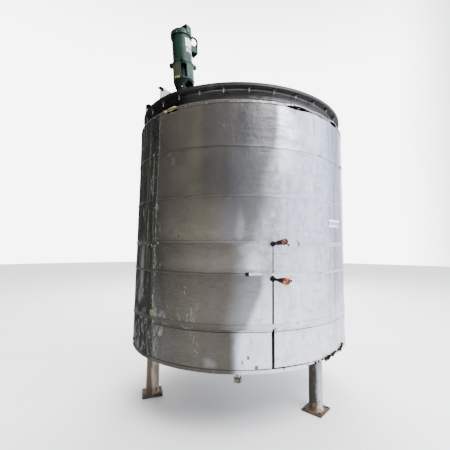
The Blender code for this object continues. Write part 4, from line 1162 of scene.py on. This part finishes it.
def make_hatch():
    """The bolted hatch on the cover: neck with its ring, lid, bolts and a bar handle."""
    low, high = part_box("hatch_lid")
    place = shift((low[0] + high[0]) / 2, (low[1] + high[1]) / 2, 0.0)
    top = high[2]
    bm = revolve(bmesh.new(), [
        (0.197, COVER_TOP + 0.0003), (0.21, COVER_TOP + 0.0003), (0.2055, COVER_TOP + 0.006),
        (0.205, COVER_TOP + 0.01), (0.205, 3.215), (0.197, 3.215)], 72, place)
    revolve(bm, [(0.2051, 3.203), (0.248, 3.203), (0.249, 3.204), (0.249, 3.2145), (0.2051, 3.2145)], 72, place)
    piece("hatch_ring", bm, "shell", "vessel_steel", "hatch_neck")
    turned("hatch_cover", [(0, 3.2153), (0.248, 3.2153), (0.25, 3.217), (0.25, top - 0.002), (0.248, top),
                           (0.19, top), (0.184, top), (0, top)], 72, place,
           "shell", "vessel_steel", "hatch_lid")
    bm = bmesh.new()
    for turn in turns_of(place, 12, 15.0):
        bolt(bm, turn @ shift(0.228, 0.0, top), 0.013, 0.005)
    piece("hatch_bolts", bm, "bolt", "vessel_steel")
    points = ((-0.07, 0.0), (-0.07, 0.03), (-0.058, 0.045), (0.058, 0.045), (0.07, 0.03), (0.07, 0.0))
    tube("hatch_handle", [place @ Vector((x, 0.0, top + z)) for x, z in points], 0.007, "shell")


def make_legs():
    """Pipe legs with a weld at the base plate, and plates with worn edges and anchor holes."""
    half, sides = PLATE / 2, 48
    for name, az in LEGS.items():
        centre = around(az, 0.0, LEG_CIRCLE)

        def ring(z, flare=0.0):
            radii = [LEG_R + flare * (1.0 + 0.25 * wander(step * 0.6, 0.0, az)) for step in range(sides)]
            return [centre + Vector((r * math.cos(TAU * step / sides), r * math.sin(TAU * step / sides), z))
                    for step, r in enumerate(radii)]

        def under_head(point):
            reach = math.hypot(point.x, point.y - TANK_Y) / 1.1543
            return Vector((*point.xy, 1.02 - 0.3803 * math.sqrt(max(0.0, 1.0 - reach ** 2))))

        rows = [ring(0.019, 0.01), ring(0.024, 0.006), ring(0.03), ring(0.2), ring(0.4), ring(0.6)]
        rows.append([under_head(point) for point in ring(0.0)])
        paint = "left_leg" if name == "left_leg" else "right_leg"
        piece(f"{name}_pipe", skin(bmesh.new(), rows, ends="flat"), paint, "leg_steel", angle=60.0)
        bm, place = bmesh.new(), shift(*centre) @ roll(az, "Z")
        block(bm, (-half, -half, 0.0), (half, half, 0.0185), place, 0.0025)
        for vert in bm.verts:
            if vert.co.z > 0.01:
                vert.co.z += 0.0006 * wander(vert.co.x * 30.0, vert.co.y * 30.0, 4.0)
        piece(f"{name}_plate", bm, "plate", "leg_steel", name)
        # The anchor holes are black discs on the plate: painted shade
        bm, corner = bmesh.new(), half - 0.026
        for x, y in ((-corner, -corner), (-corner, corner), (corner, -corner), (corner, corner)):
            disc(bm, 0.0115, 0.0, 0.0008, 16, shift(*(place @ Vector((x, y, 0.0186)))))
        piece(f"{name}_holes", bm, "mastic_and_shade", "leg_steel")


def make_nozzles():
    """The capped drain under the front edge and the flanged outlet in the middle."""
    place = shift(*around(-0.7, 0.0, 1.177))
    turned("drain_pipe", [(0, 0.5305), (0.0212, 0.5305), (0.0212, 1.0297), (0, 1.0297)], 32, place,
           "bright", "vessel_steel", "jacket_drain")
    turned("drain_cap", [(0, 0.493), (0.03, 0.493), (0.0345, 0.496), (0.035, 0.5), (0.035, 0.511),
                         (0.0335, 0.513), (0.0335, 0.52), (0.035, 0.522), (0.035, 0.527), (0.033, 0.53),
                         (0, 0.53)], 40, place, "cap", "vessel_steel")
    bm = revolve(bmesh.new(), [
        (0, 0.4035), (0.088, 0.4035), (0.0895, 0.405), (0.0895, 0.4165), (0.088, 0.418), (0.054, 0.418),
        (0.047, 0.426), (0.045, 0.436), (0.045, 0.6397), (0, 0.6397)], 48, AXIS)
    disc(bm, 0.062, 0.4, 0.4033, 48, AXIS)
    for turn in turns_of(AXIS, 4, 45.0):
        bolt(bm, turn @ shift(0.073, 0.0, 0.418), 0.012)
    piece("outlet_nozzle", bm, "bright", "vessel_steel", "bottom_outlet")


def make_probe(name, base, neck_end, length, radius, root, tip):
    """A probe: a hexagon nut, a ribbed neck, a flared head with a copper face, and a knob on a stalk."""
    out = outward(PROBE_AZ)
    place = on_axes(UP.cross(out), UP, out + UP * math.tan(math.radians(3.0)), base)
    bm = revolve(bmesh.new(), [(0, 0), (0.0225, 0), (0.0228, 0.003), (0.0228, 0.006), (0, 0.006)], 24, place)
    hex_head(bm, place @ shift(0, 0, 0.006), 0.023, 0.024, 0.5)
    neck, z = [(0, 0.029), (0.015, 0.029), (0.0145, 0.034)], 0.036
    while z < neck_end - 0.006:
        neck += [(0.011, z), (0.01, z + 0.002)]
        z += 0.004
    revolve(bm, neck + [(0.011, neck_end), (0, neck_end)], 20, place)
    piece(f"{name}_probe_stem", bm, "black", "dark_fitting", f"{name}_probe_neck")
    # The body is given from the neck's end and from its own, the face from its own end and its radius
    body = [(r, neck_end + z) for r, z in (
        (0, 0.0003), (0.0135, 0.0003), (0.014, 0.012), (0.0165, 0.02), (0.0165, 0.035), (0.0185, 0.041))]
    body += [(radius - r, length - z) for r, z in (
        (0.003, 0.05), (0.0005, 0.034), (0.0005, 0.026), (0.0035, 0.0245), (radius, 0.0245))]
    turned(f"{name}_probe_body", body, 40, place, "soot", "probe_head", f"{name}_probe_head")
    face = [(radius - r, length - z) for r, z in (
        (radius, 0.0243), (0.002, 0.0243), (0.0, 0.022), (0.0, 0.006), (0.002, 0.002), (0.005, 0.0),
        (0.007, 0.0035))]
    bm = revolve(bmesh.new(), face + [(0.01, length - 0.004), (0.008, length - 0.001), (0, length)], 40, place)
    for turn in turns_of(place, 12):
        rib = turn @ shift(radius, 0.0, length)
        block(bm, (-0.0012, -0.0016, -0.02), (0.0008, 0.0016, -0.008), rib, 0.0004)
    piece(f"{name}_probe_face", bm, "copper", "probe_head")
    bm = bmesh.new()
    root, tip = place @ Vector((*root, length - 0.014)), place @ Vector((*tip, length - 0.008))
    bmesh.ops.create_icosphere(bm, subdivisions=2, radius=0.0085, matrix=Matrix.Translation(tip))
    stalk = (tip - root).length - 0.002
    revolve(bm, [(0, 0), (0.0048, 0), (0.004, stalk), (0, stalk)], 12, facing(root, (tip - root).normalized()))
    piece(f"{name}_probe_screw", bm, "black", "dark_fitting")


def make_probes():
    """The two probes that stand out from the front of the cladding."""
    make_probe("upper", around(PROBE_AZ, 1.656, CLAD_R + 0.0016), 0.09, 0.3, 0.0245, (0.014, -0.012),
               (0.029, -0.027))
    make_probe("lower", around(PROBE_AZ, 1.355, CLAD_R - 0.002), 0.15, 0.335, 0.029, (0.02, 0.001),
               (0.036, 0.003))


def make_bridge():
    """Two rolled channels on the cover, with cleats and bolts."""
    depth, flange, web, toe, root = 0.175, 0.05, 0.008, 0.0085, 0.0095
    outline = [(0.0, 0.0), (flange, 0.0), (flange, toe * 0.55), (flange - toe * 0.4, toe), (web + root, root),
               (web + root * 0.35, root * 1.25), (web, root * 2.2)]
    outline += [(x, depth - y) for x, y in outline[::-1]]
    along, across = outward(BEAM_AZ), outward(BEAM_AZ - 90.0)
    for name, offset, toes, spare in (("front", -0.2885, -1.0, 0.0), ("rear", -0.751, 1.0, 0.038)):
        half = math.sqrt(1.19 ** 2 - offset ** 2)
        origin = across * offset + Vector((0.0, TANK_Y, COVER_TOP + 0.0003))
        place = on_axes(across * toes, UP, along, origin)
        rows = []
        for step in range(25):
            w = -half - spare + (2.0 * half + spare) * step / 24
            rows.append([(x + 0.0012 * wander(w * 2.0, y * 9.0, 2.0), y, w) for x, y in outline])
        piece(f"{name}_channel", skin(bmesh.new(), rows, place, ends="flat"), "bridge", "bridge_steel",
              f"{name}_bridge_channel")
        bm = bmesh.new()
        for w in (-half + 0.1, 0.0, half - 0.1):
            block(bm, (-0.007, 0.0005, w - 0.03), (-0.0002, 0.085, w + 0.03), place, 0.0015)
            block(bm, (-0.055, 0.0005, w - 0.03), (-0.0072, 0.0085, w + 0.03), place, 0.0015)
            bolt(bm, place @ shift(-0.032, 0.0085, w) @ roll(-90.0, "X"), 0.012)
            bolt(bm, place @ shift(-0.007, 0.055, w) @ roll(-90.0, "Y"), 0.011)
        piece(f"{name}_channel_cleats", bm, "bolt", "bridge_steel")


def windowed_tube(bm, inner, outer, turns, heights, windows):
    """A tube of the mixer on a grid of angles and heights, with windows.

    Each window is its middle, a test of what is open, and a function that fits a point to its edge.
    """
    columns, rows = len(turns), len(heights) - 1

    def is_open(az, z):
        return any(test(wrapped(az - middle), z) for middle, test, fit in windows)

    solid = []
    for i in range(columns):
        after = turns[(i + 1) % columns] + (360.0 if i == columns - 1 else 0.0)
        solid.append([not is_open((turns[i] + after) / 2.0, (heights[j] + heights[j + 1]) / 2.0)
                      for j in range(rows)])
    verts = {}

    def vert(i, j, k):
        i = i % columns
        if (i, j, k) not in verts:
            az, z = turns[i], heights[j]
            if not all(solid[i - a][j - b] for a in (0, 1) for b in (0, 1) if 0 <= j - b < rows):
                for middle, test, fit in windows:
                    if abs(wrapped(az - middle)) < 60.0:
                        turn, z = fit(wrapped(az - middle), z)
                        az = middle + turn
            a, r = math.radians(az), outer if k else inner
            verts[i, j, k] = bm.verts.new(MIXER @ Vector((r * math.cos(a), r * math.sin(a), z)))
        return verts[i, j, k]

    def face(*corners):
        bm.faces.new([vert(*corner) for corner in corners])

    for i, j in ((i, j) for i in range(columns) for j in range(rows) if solid[i][j]):
        face((i, j, 1), (i + 1, j, 1), (i + 1, j + 1, 1), (i, j + 1, 1))
        face((i, j + 1, 0), (i + 1, j + 1, 0), (i + 1, j, 0), (i, j, 0))
        if j == 0 or not solid[i][j - 1]:
            face((i, j, 0), (i + 1, j, 0), (i + 1, j, 1), (i, j, 1))
        if j == rows - 1 or not solid[i][j + 1]:
            face((i, j + 1, 1), (i + 1, j + 1, 1), (i + 1, j + 1, 0), (i, j + 1, 0))
        if not solid[i - 1][j]:
            face((i, j, 0), (i, j, 1), (i, j + 1, 1), (i, j + 1, 0))
        if not solid[(i + 1) % columns][j]:
            face((i + 1, j, 1), (i + 1, j, 0), (i + 1, j + 1, 0), (i + 1, j + 1, 1))
    return bm


def make_mount():
    """The bolts of the base plate, the riser with its flange and studs, and the seal housing."""
    low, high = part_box("mixer_base_plate")
    middle = (Vector(low) + Vector(high)) / 2.0
    place = shift(middle.x, middle.y, low[2]) @ roll(BEAM_AZ - 90.0, "Z")
    bm = bmesh.new()
    for x, y in ((-0.15, -0.195), (-0.15, 0.195), (0.15, -0.195), (0.15, 0.195)):
        bolt(bm, facing(place @ Vector((x, y, 0.0182)), UP, x), 0.015, 0.008)
    piece("base_plate_bolts", bm, "bolt", "vessel_steel")
    # The riser's foot lies flat on the tilted mixer's base plate
    foot, tilt = -0.175 / math.cos(MIXER_TILT), math.tan(MIXER_TILT)
    rows = [[(x, y, z + x * tilt + 0.0004) for x, y, z in circle(r, foot, 64)] for r in (0.1, 0.11)]
    rows += [circle(r, z, 64) for r, z in (
        (0.11, 0.02), (0.113, 0.026), (0.11, 0.034), (0.11, 0.112), (0.116, 0.1195), (0.139, 0.12),
        (0.14, 0.1212), (0.14, 0.139), (0.139, 0.14), (0.031, 0.14), (0.031, 0.12), (0.1, 0.12))]
    piece("riser_pipe", skin(bmesh.new(), rows, MIXER, closed=True), "shell", "vessel_steel", "mixer_riser")
    bm = bmesh.new()
    for turn in turns_of(MIXER, 8, 22.5):
        bolt(bm, turn @ shift(0.124, 0, 0.12) @ roll(180.0, "X"), 0.0095, 0.004)
    piece("riser_bolts", bm, "bolt", "vessel_steel")
    bm = revolve(bmesh.new(), [
        (0.031, 0.1403), (0.075, 0.1403), (0.0755, 0.142), (0.0755, 0.158), (0.074, 0.16), (0.058, 0.16),
        (0.056, 0.164), (0.056, 0.298), (0.058, 0.3), (0.064, 0.3), (0.0645, 0.302), (0.0645, 0.328),
        (0.063, 0.33), (0.031, 0.33)], 48, MIXER)
    for turn in turns_of(MIXER, 4, 45.0):
        bolt(bm, turn @ shift(0.066, 0, 0.16), 0.007, 0.006)
        bolt(bm, turn @ shift(0.048, 0, 0.33), 0.0055, 0.01)
    for turn in turns_of(MIXER, 2, 20.0):
        revolve(bm, [(0, 0), (0.008, 0), (0.008, 0.01), (0.004, 0.012), (0.004, 0.02), (0, 0.021)], 12,
                turn @ shift(0.055, 0, 0.23) @ roll(90.0, "Y"))
    piece("seal_body", bm, "inner", "vessel_steel", "seal_housing")


def make_pedestal():
    """The pedestal with three arched windows, and its rims."""
    low, high, inner, outer = 0.1403, 0.4275, 0.112, 0.127
    # The windows: where the arch springs and ends, the sill, half the width, and the middle of the wall
    spring, crown, sill, half, wall = 0.317, 0.405, 0.19, 0.088, 0.1195
    wide = math.degrees(math.asin(half / wall))

    def arch(off, z):
        if not sill <= z <= crown or abs(off) >= 80.0:
            return False
        x = wall * math.sin(math.radians(off))
        return abs(x) <= half and (z < spring or (z - spring) ** 2 + x * x < half * half)

    def to_edge(off, z):
        if z < sill + 0.003:
            return (off if abs(off) < wide - 1.5 else math.copysign(wide, off)), sill
        if z < spring + 0.004:
            return math.copysign(wide, off), z
        x, y = wall * math.sin(math.radians(off)), z - spring
        size = half / max(1e-6, math.hypot(x, y))
        return math.degrees(math.asin(max(-1.0, min(1.0, x * size / wall)))), spring + y * size

    heights = [low + (high - low) * step / 84 for step in range(85)]
    bm = windowed_tube(bmesh.new(), inner, outer, [2.0 * step for step in range(180)], heights,
                       [(az, arch, to_edge) for az in (0.0, 120.0, -120.0)])
    piece("pedestal_cage", bm, "cage", "machine_paint", "arched_pedestal", angle=50.0)
    bm = revolve(bmesh.new(), [
        (outer + 0.0002, low), (0.1385, low), (0.1395, 0.1415), (0.1395, 0.156), (0.138, 0.158), (0.131, 0.16),
        (outer + 0.0002, 0.166)], 72, MIXER)
    for turn in turns_of(MIXER, 8, 22.5):
        bolt(bm, turn @ shift(0.1325, 0, 0.1578), 0.0062, 0.003)
    revolve(bm, [(outer + 0.0002, 0.412), (0.13, 0.415), (0.1315, 0.417), (0.1315, high - 0.001),
                 (0.1305, high - 0.0001), (outer + 0.0002, high - 0.0001)], 72, MIXER)
    piece("pedestal_rims", bm, "cage", "machine_paint")


def make_lantern():
    """The lantern round the coupling with its two windows, ribs and screws, and the adapter with four ears."""
    low, high, inner, outer = 0.4283, 0.64, 0.115, 0.132
    # The windows: half their width in degrees, sill and lintel; the grid's columns give way to their corners
    half, sill, lintel = 16.7, 0.4373, 0.62
    corners = [middle + side * half for middle in (90.0, 270.0) for side in (-1, 1)]
    turns = sorted([5.0 * step for step in range(72) if step not in (15, 21, 51, 57)] + corners)
    windows = [(az, lambda off, z: abs(off) < half and sill < z < lintel, lambda off, z: (off, z))
               for az in (90.0, 270.0)]
    heights = [low, sill, 0.48, 0.53, 0.58, lintel, high]
    bm = windowed_tube(bmesh.new(), inner, outer, turns, heights, windows)
    piece("lantern_wall", bm, "lantern", "machine_paint", "coupling_lantern", angle=50.0)
    root = outer + 0.0002
    bm = revolve(bmesh.new(), [(root, low), (0.1335, 0.4286), (0.134, 0.4295), (0.134, 0.435), (root, 0.4365)],
                 72, MIXER)
    revolve(bm, [(root, 0.6245), (0.134, 0.6265), (0.1348, 0.629), (0.1348, 0.639), (0.134, 0.6398),
                 (root, 0.6398)], 72, MIXER)
    for turn in turns_of(MIXER, 2, 90.0):
        for side in (-1.0, 1.0):
            block(bm, (0.13, -0.0035, 0.438), (0.135, 0.0035, 0.623), turn @ roll(side * 18.6, "Z"), 0.0015)
            for z in (0.47, 0.585):
                screw = turn @ roll(side * 45.0, "Z") @ shift(0.1319, 0, z) @ roll(90.0, "Y")
                hex_head(bm, screw, 0.0065, 0.0035)
    piece("lantern_ribs", bm, "lantern", "machine_paint")
    mixer_patch("yellow_strip", "yellow", 0.1326, 32.0, 66.0, 0.44, 0.46, 0.001, -0.012)
    bm = revolve(bmesh.new(), [
        (0.06, 0.6403), (0.1395, 0.6403), (0.1405, 0.6415), (0.1405, 0.6638), (0.1395, 0.665),
        (0.06, 0.665)], 72, MIXER)
    ear = [(0.13, -0.034), (0.158, -0.026), (0.168, -0.018), (0.172, 0.0), (0.168, 0.018), (0.158, 0.026),
           (0.13, 0.034)]
    for turn in turns_of(MIXER, 4):
        prism(bm, ear, 0.6404, 0.6649, turn)
        prism(bm, [(x - 0.004, y * 0.8) for x, y in ear], 0.625, 0.6403, turn)
        bolt(bm, turn @ shift(0.152, 0, 0.6649), 0.0115, 0.006)
        bolt(bm, turn @ shift(0.152, 0, 0.625) @ roll(180.0, "X"), 0.0115, 0.005)
    piece("adapter_plate", bm, "green", "machine_paint", "motor_adapter")


def mixer_patch(name, paint, radius, start, end, low, high, thick, slant=0.0):
    """A thin patch on the mixer's round side, between two local angles."""
    rows = []
    for i in range(13):
        a, rise = math.radians(start + (end - start) * i / 12), slant * (i / 12 - 0.5)
        rows.append([(r * math.cos(a), r * math.sin(a), z + rise) for r, z in (
            (radius, low), (radius + thick, low), (radius + thick, high), (radius, high))])
    piece(name, skin(bmesh.new(), rows, MIXER, ends="flat"), paint, "machine_paint")


def make_motor():
    """The smooth motor body with its end rings, long bolts, labels, and the fan cover."""
    r = 0.1225
    turned("motor_body", [
        (0, 0.6653), (0.126, 0.6653), (0.1285, 0.668), (0.1285, 0.686), (0.1265, 0.69), (0.1235, 0.694),
        (r, 0.697), (r, 0.703), (r - 0.0015, 0.704), (r - 0.0015, 0.706), (r, 0.707), (r, 0.964),
        (r - 0.0015, 0.965), (r - 0.0015, 0.967), (r, 0.968), (r, 1.028), (0.118, 1.03), (0, 1.03)], 96, MIXER,
           "green", "machine_paint", "motor")
    bm = bmesh.new()
    for turn in turns_of(MIXER, 4, 45.0):
        hex_head(bm, turn @ shift(0.1175, 0, 0.69), 0.0062, 0.006)
    for turn in turns_of(MIXER, 8, 20.0):
        revolve(bm, [(0, 0), (0.005, 0), (0.0045, 0.0022), (0, 0.0028)], 10,
                turn @ shift(0.1362, 0, 1.035) @ roll(90.0, "Y"))
    piece("motor_screws", bm, "bolt", "machine_paint")
    inner = 0.1229
    turned("fan_shroud", [
        (0, 1.088), (0.121, 1.088), (inner, 1.078), (inner, 1.0185), (0.1335, 1.0185), (0.1358, 1.0195),
        (0.1363, 1.0215), (0.1363, 1.0245), (0.1352, 1.0255), (0.1352, 1.074), (0.1335, 1.082),
        (0.1275, 1.0895), (0.12, 1.092), (0, 1.092)], 96, MIXER, "green", "machine_paint", "fan_cover")
    # The fan cover's slots are black strips on its top: painted shade
    bm = bmesh.new()
    for turn in turns_of(MIXER, 28):
        block(bm, (0.05, -0.0035, 1.0918), (0.112, 0.0035, 1.0923), turn)
    piece("fan_slots", bm, "mastic_and_shade", "machine_paint")
    mixer_patch("white_label", "label", 0.1228, 110.0, 158.0, 0.858, 0.972, 0.0006)
    mixer_patch("blue_label", "label_blue", 0.1228, 112.0, 156.0, 0.787, 0.843, 0.0006)


def make_hood():
    """The rain hood: one sheet bent over the fan cover, down beside it at both ends, with short skirts."""
    place = MIXER @ roll(45.0, "Z")
    low, high, half, wide, sheet, bend = 1.0455, 1.1498, 0.1393, 0.0418, 0.0024, 0.007
    right = [(half, low)]
    for step in range(6):
        a = math.pi / 2 * step / 5
        right.append((half - bend + bend * math.cos(a), high - bend + bend * math.sin(a)))
    middle = [(-y, z) for y, z in right] + right[::-1]
    inner = [(max(-half + sheet, min(half - sheet, y)), min(z, high - sheet)) for y, z in middle]
    rows = []
    for step in range(9):
        x, dip = wide * (step / 4 - 1.0), 0.0012 * (1.0 - (step / 4 - 1.0) ** 2)
        rows.append([(x, y, z - dip * (z > high - 0.004)) for y, z in middle + inner[::-1]])
    bm = skin(bmesh.new(), rows, place, ends="ladder")
    for low_x, high_x in ((-wide, -wide + 0.0022), (wide - 0.0022, wide)):
        block(bm, (low_x, -half + 0.004, high - 0.0118), (high_x, half - 0.004, high - 0.0022), place, 0.0007)
    piece("folded_hood", bm, "green", "machine_paint", "rain_hood")
    bm = bmesh.new()
    for side in (-1, 1):
        for x in (-0.024, 0.024):
            revolve(bm, [(0, -0.004), (0.0068, -0.004), (0.0068, 0.0004), (0.0055, 0.003), (0, 0.0036)], 12,
                    place @ shift(x, side * half, 1.058) @ roll(-side * 90.0, "X"))
    piece("hood_screws", bm, "bolt", "machine_paint")


def lead_points(steps=16):
    """The lead's middle line, in the mixer's frame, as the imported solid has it."""
    foot, head = Vector((-0.193, -0.036, 0.9626)), Vector((-0.1366, -0.006, 1.066))
    start, end = foot + Vector((0.0, 0.0, 0.005)), head - Vector((0.004, 0.0, 0.0))
    out, over = Vector((-0.212, -0.036, 1.0046)), Vector((-0.215, -0.02, 1.066))
    bow = []
    for step in range(steps + 1):
        t = step / steps
        s = 1.0 - t
        bow.append(start * s ** 3 + out * 3 * t * s ** 2 + over * 3 * t ** 2 * s + end * t ** 3)
    return [foot] + bow + [head]


def make_box_and_lead():
    """The conduit box with its lid, screws and gland, and the lead that turns into the fan cover."""
    place = MIXER @ roll(25.0, "Z")
    bm = bmesh.new()
    block(bm, (-0.1915, -0.0565, 0.866), (-0.1105, 0.0565, 0.958), place, 0.005)
    block(bm, (-0.2035, -0.06, 0.8622), (-0.1925, 0.06, 0.9618), place, 0.0035)
    block(bm, (-0.205, -0.05, 0.872), (-0.2034, 0.05, 0.952), place, 0.0007)
    for y in (-0.0525, 0.0525):
        for z in (0.869, 0.955):
            revolve(bm, [(0, 0), (0.0042, 0), (0.0035, 0.0014), (0, 0.0016)], 10,
                    place @ shift(-0.2034, y, z) @ roll(-90.0, "Y"))
    piece("terminal_box", bm, "green", "machine_paint", "conduit_box")
    bm = bmesh.new()
    block(bm, (-0.1922, -0.059, 0.864), (-0.1917, 0.059, 0.96), place)
    piece("box_gasket", bm, "mastic_and_shade", "dark_fitting")
    points = lead_points()
    lead = tube("motor_cord", [MIXER @ point for point in points], 0.0125, "rubber",
                "motor_lead", resolution=5)
    base = MIXER @ shift(points[0].x, points[0].y, 0.962)
    bm = bmesh.new()
    hex_head(bm, base @ shift(0, 0, -0.003), 0.018, 0.009)
    revolve(bm, [(0.0127, 0.004), (0.0168, 0.004), (0.0164, 0.011), (0.014, 0.019), (0.0127, 0.02)], 20,
            base @ roll(-11.0, "Y"))
    revolve(bm, [(0.0127, -0.0008), (0.018, 0.0), (0.018, 0.004), (0.0155, 0.009), (0.0127, 0.014)], 20,
            MIXER @ Matrix.Translation(points[-1]) @ roll(-90.0, "Y"))
    piece("lead_glands", bm, "black", "dark_fitting")


def make_rotor():
    """What turns: the two-piece coupling with its bolts, the shaft, and the pitched-blade impeller."""
    bm = revolve(bmesh.new(), [
        (0, 0.4502), (0.046, 0.4502), (0.048, 0.452), (0.048, 0.516), (0.0465, 0.518), (0.043, 0.5205),
        (0.043, 0.5295), (0.0465, 0.532), (0.048, 0.534), (0.048, 0.598), (0.046, 0.6), (0.021, 0.6),
        (0.021, 0.6648), (0, 0.6648)], 48, MIXER)
    for turn in turns_of(MIXER, 6):
        for z in (0.5165, 0.5335):
            block(bm, (0.0455, -0.005, z - 0.004), (0.0492, 0.005, z + 0.004), turn, 0.0008)
    piece("coupling_halves", bm, "coupling", "vessel_steel", "shaft_coupling", "agitator")
    turned("long_shaft", [(0, -2.0), (0.022, -2.0), (0.025, -1.997), (0.025, 0.4497), (0, 0.4497)], 40, MIXER,
           "agitator", "vessel_steel", "agitator_shaft", "agitator")
    mid = -1.94
    bm = revolve(bmesh.new(), [(0.0253, mid - 0.045), (0.046, mid - 0.045), (0.048, mid - 0.043),
                               (0.048, mid + 0.043), (0.046, mid + 0.045), (0.0253, mid + 0.045)], 40, MIXER)
    rows = []
    for i in range(9):
        x, w = 0.044 + 0.196 * i / 8, 0.045 * (1.0 - 0.25 * max(0.0, (i - 6) / 2) ** 2)
        rows.append([(x, -w, -0.0035), (x, w, -0.0035), (x, w, 0.0035), (x, -w, 0.0035)])
    for turn in turns_of(MIXER, 4):
        skin(bm, rows, turn @ shift(0, 0, mid) @ roll(40.0, "X"), ends="flat")
    piece("pitched_impeller", bm, "agitator", "vessel_steel", "impeller", "agitator")


def make_label():
    """A worn label on the right of the cladding, one corner lifted."""
    bm = strip(bmesh.new(), 44.0, 55.0, lambda az: 1.834 + 0.0006 * (az - 44.0),
               lambda az: 1.906 + 0.0004 * (az - 44.0),
               lambda az, z, t: CLAD_R + 0.0012 + sag(az, z) + 0.006 * ease(t, 0.8, 1.0) * ease(z, 1.85, 1.92),
               24, 10, 0.0005)
    piece("cladding_label", bm, "strips", "cladding_sheet")


def finish_nodes():
    """Give each CAD node that still shows its material."""
    for name, kind in (("bottom_closing_sheet", "edge"), ("jacket", "shell"), ("bottom_head", "shell"),
                       ("mixer_base_plate", "shell")):
        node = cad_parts[name]
        if not node.material_slots:
            node.data.materials.append(PAINT[kind])
        for slot in node.material_slots:
            slot.material = PAINT[kind]


# The light round the horizon, as (azimuth from the front, colour): the tank's left at -90, behind it at 180
SKY = (
    (-180, (7.0, 7.0, 7.0)), (-138, (7.0, 7.0, 7.0)), (-130, (0.3, 0.3, 0.27)), (-120, (0.03, 0.035, 0.028)),
    (-100, (0.03, 0.035, 0.028)), (-92, (0.09, 0.085, 0.075)), (-66, (0.1, 0.092, 0.082)),
    (-52, (0.125, 0.115, 0.105)), (-38, (0.105, 0.1, 0.095)), (-24, (0.07, 0.07, 0.068)),
    (-8, (0.1, 0.1, 0.105)), (8, (0.155, 0.158, 0.166)), (20, (0.2, 0.205, 0.22)),
    (28, (0.37, 0.38, 0.41)), (38, (0.72, 0.74, 0.82)), (48, (1.55, 1.65, 1.95)), (58, (2.2, 2.35, 2.85)),
    (90, (2.3, 2.45, 3.0)), (125, (1.75, 1.85, 2.25)), (138, (1.35, 1.4, 1.6)), (150, (7.0, 7.0, 7.0)),
    (180, (7.0, 7.0, 7.0)))
# Lamps, as (name, place, aim, size, power)
LAMPS = (("key", (4.5, -5.5, 9.0), (3.0, -3.0, 0.0), 6.0, 2200.0),
         ("back", (0.5, 7.5, 7.0), (0.0, 4.5, 0.0), 6.0, 1900.0),
         ("top", (0.0, 1.0, 7.5), (0.0, 0.0, 0.0), 5.0, 200.0))


def make_stage():
    """A plain pale floor, soft light from the right, and a dim brown room on the left."""
    mesh = bpy.data.meshes.new("floor")
    bm = bmesh.new()
    bmesh.ops.create_circle(bm, cap_ends=True, segments=96, radius=30.0)
    bm.to_mesh(mesh)
    bm.free()
    floor = new_object("floor", mesh)
    floor.location = (0.0, 0.0, -0.0005)
    paint = Paint("pale_floor", (0.8, 0.8, 0.8), 0.0, 0.9)
    paint.patch((0.8,), (0.3, 0.7), (0.82, 0.82, 0.815))
    mesh.materials.append(paint.done())

    world = bpy.data.worlds.new("studio")
    bpy.context.scene.world = world
    world.use_nodes = True
    sky = Graph(world.node_tree)
    x, y, z = sky.split(sky.node("ShaderNodeTexCoord").outputs["Generated"])
    turn = sky.math("DIVIDE", sky.add(sky.math("ARCTAN2", x, sky.both(y, -1.0)), math.pi), TAU)
    ring = sky.steps(turn, [((az + 180.0) / 360.0, colour) for az, colour in SKY])
    colour = sky.blend(sky.span(z, 0.5, 0.85), ring, (2.1, 2.15, 2.25))
    sky.feed(sky.tree.nodes["Background"].inputs[0], colour)

    for name, place, aim, size, power in LAMPS:
        data = bpy.data.lights.new(name, "AREA")
        data.size = size
        data.energy = power
        lamp = new_object(name, data)
        lamp.location = place
        lamp.rotation_euler = (Vector(aim) - Vector(place)).to_track_quat("-Z", "Y").to_euler()


# The camera fitted to the photograph: picture width, focal length and middle in pixels, angles in degrees
PICTURE, FOCAL, MIDDLE_X, MIDDLE_Y = 450.0, 288.96, 246.63, 220.25
YAW, PITCH, ROLL = 1.12, 5.353, 0.478
EYE = (0.0, -3.7363 + TANK_Y, 1.625)


def make_camera():
    """The camera that was fitted to the photograph."""
    data = bpy.data.cameras.new("camera")
    data.sensor_width = 36.0
    data.lens = FOCAL / PICTURE * data.sensor_width
    data.shift_x = (PICTURE / 2 - MIDDLE_X) / PICTURE
    data.shift_y = (MIDDLE_Y - PICTURE / 2) / PICTURE
    data.clip_end = 100.0
    made = new_object("camera", data)
    yaw, pitch, tip = (math.radians(angle) for angle in (YAW, PITCH, ROLL))
    ahead = Vector((math.sin(yaw) * math.cos(pitch), math.cos(yaw) * math.cos(pitch), math.sin(pitch)))
    right = Vector((math.cos(yaw), -math.sin(yaw), 0.0))
    up = right.cross(ahead)
    side, over = right * math.cos(tip) + up * math.sin(tip), up * math.cos(tip) - right * math.sin(tip)
    made.matrix_world = on_axes(side, over, -ahead, EYE)
    bpy.context.scene.camera = made


random.seed(7)
for make in (make_camera, make_stage, make_cladding, make_seams, make_bands, make_flashing, make_trim,
             make_rivets, make_top, make_legs, make_nozzles, make_probes, make_bridge, make_mount,
             make_pedestal, make_lantern, make_motor, make_hood, make_box_and_lead, make_rotor, make_label,
             finish_nodes):
    make()
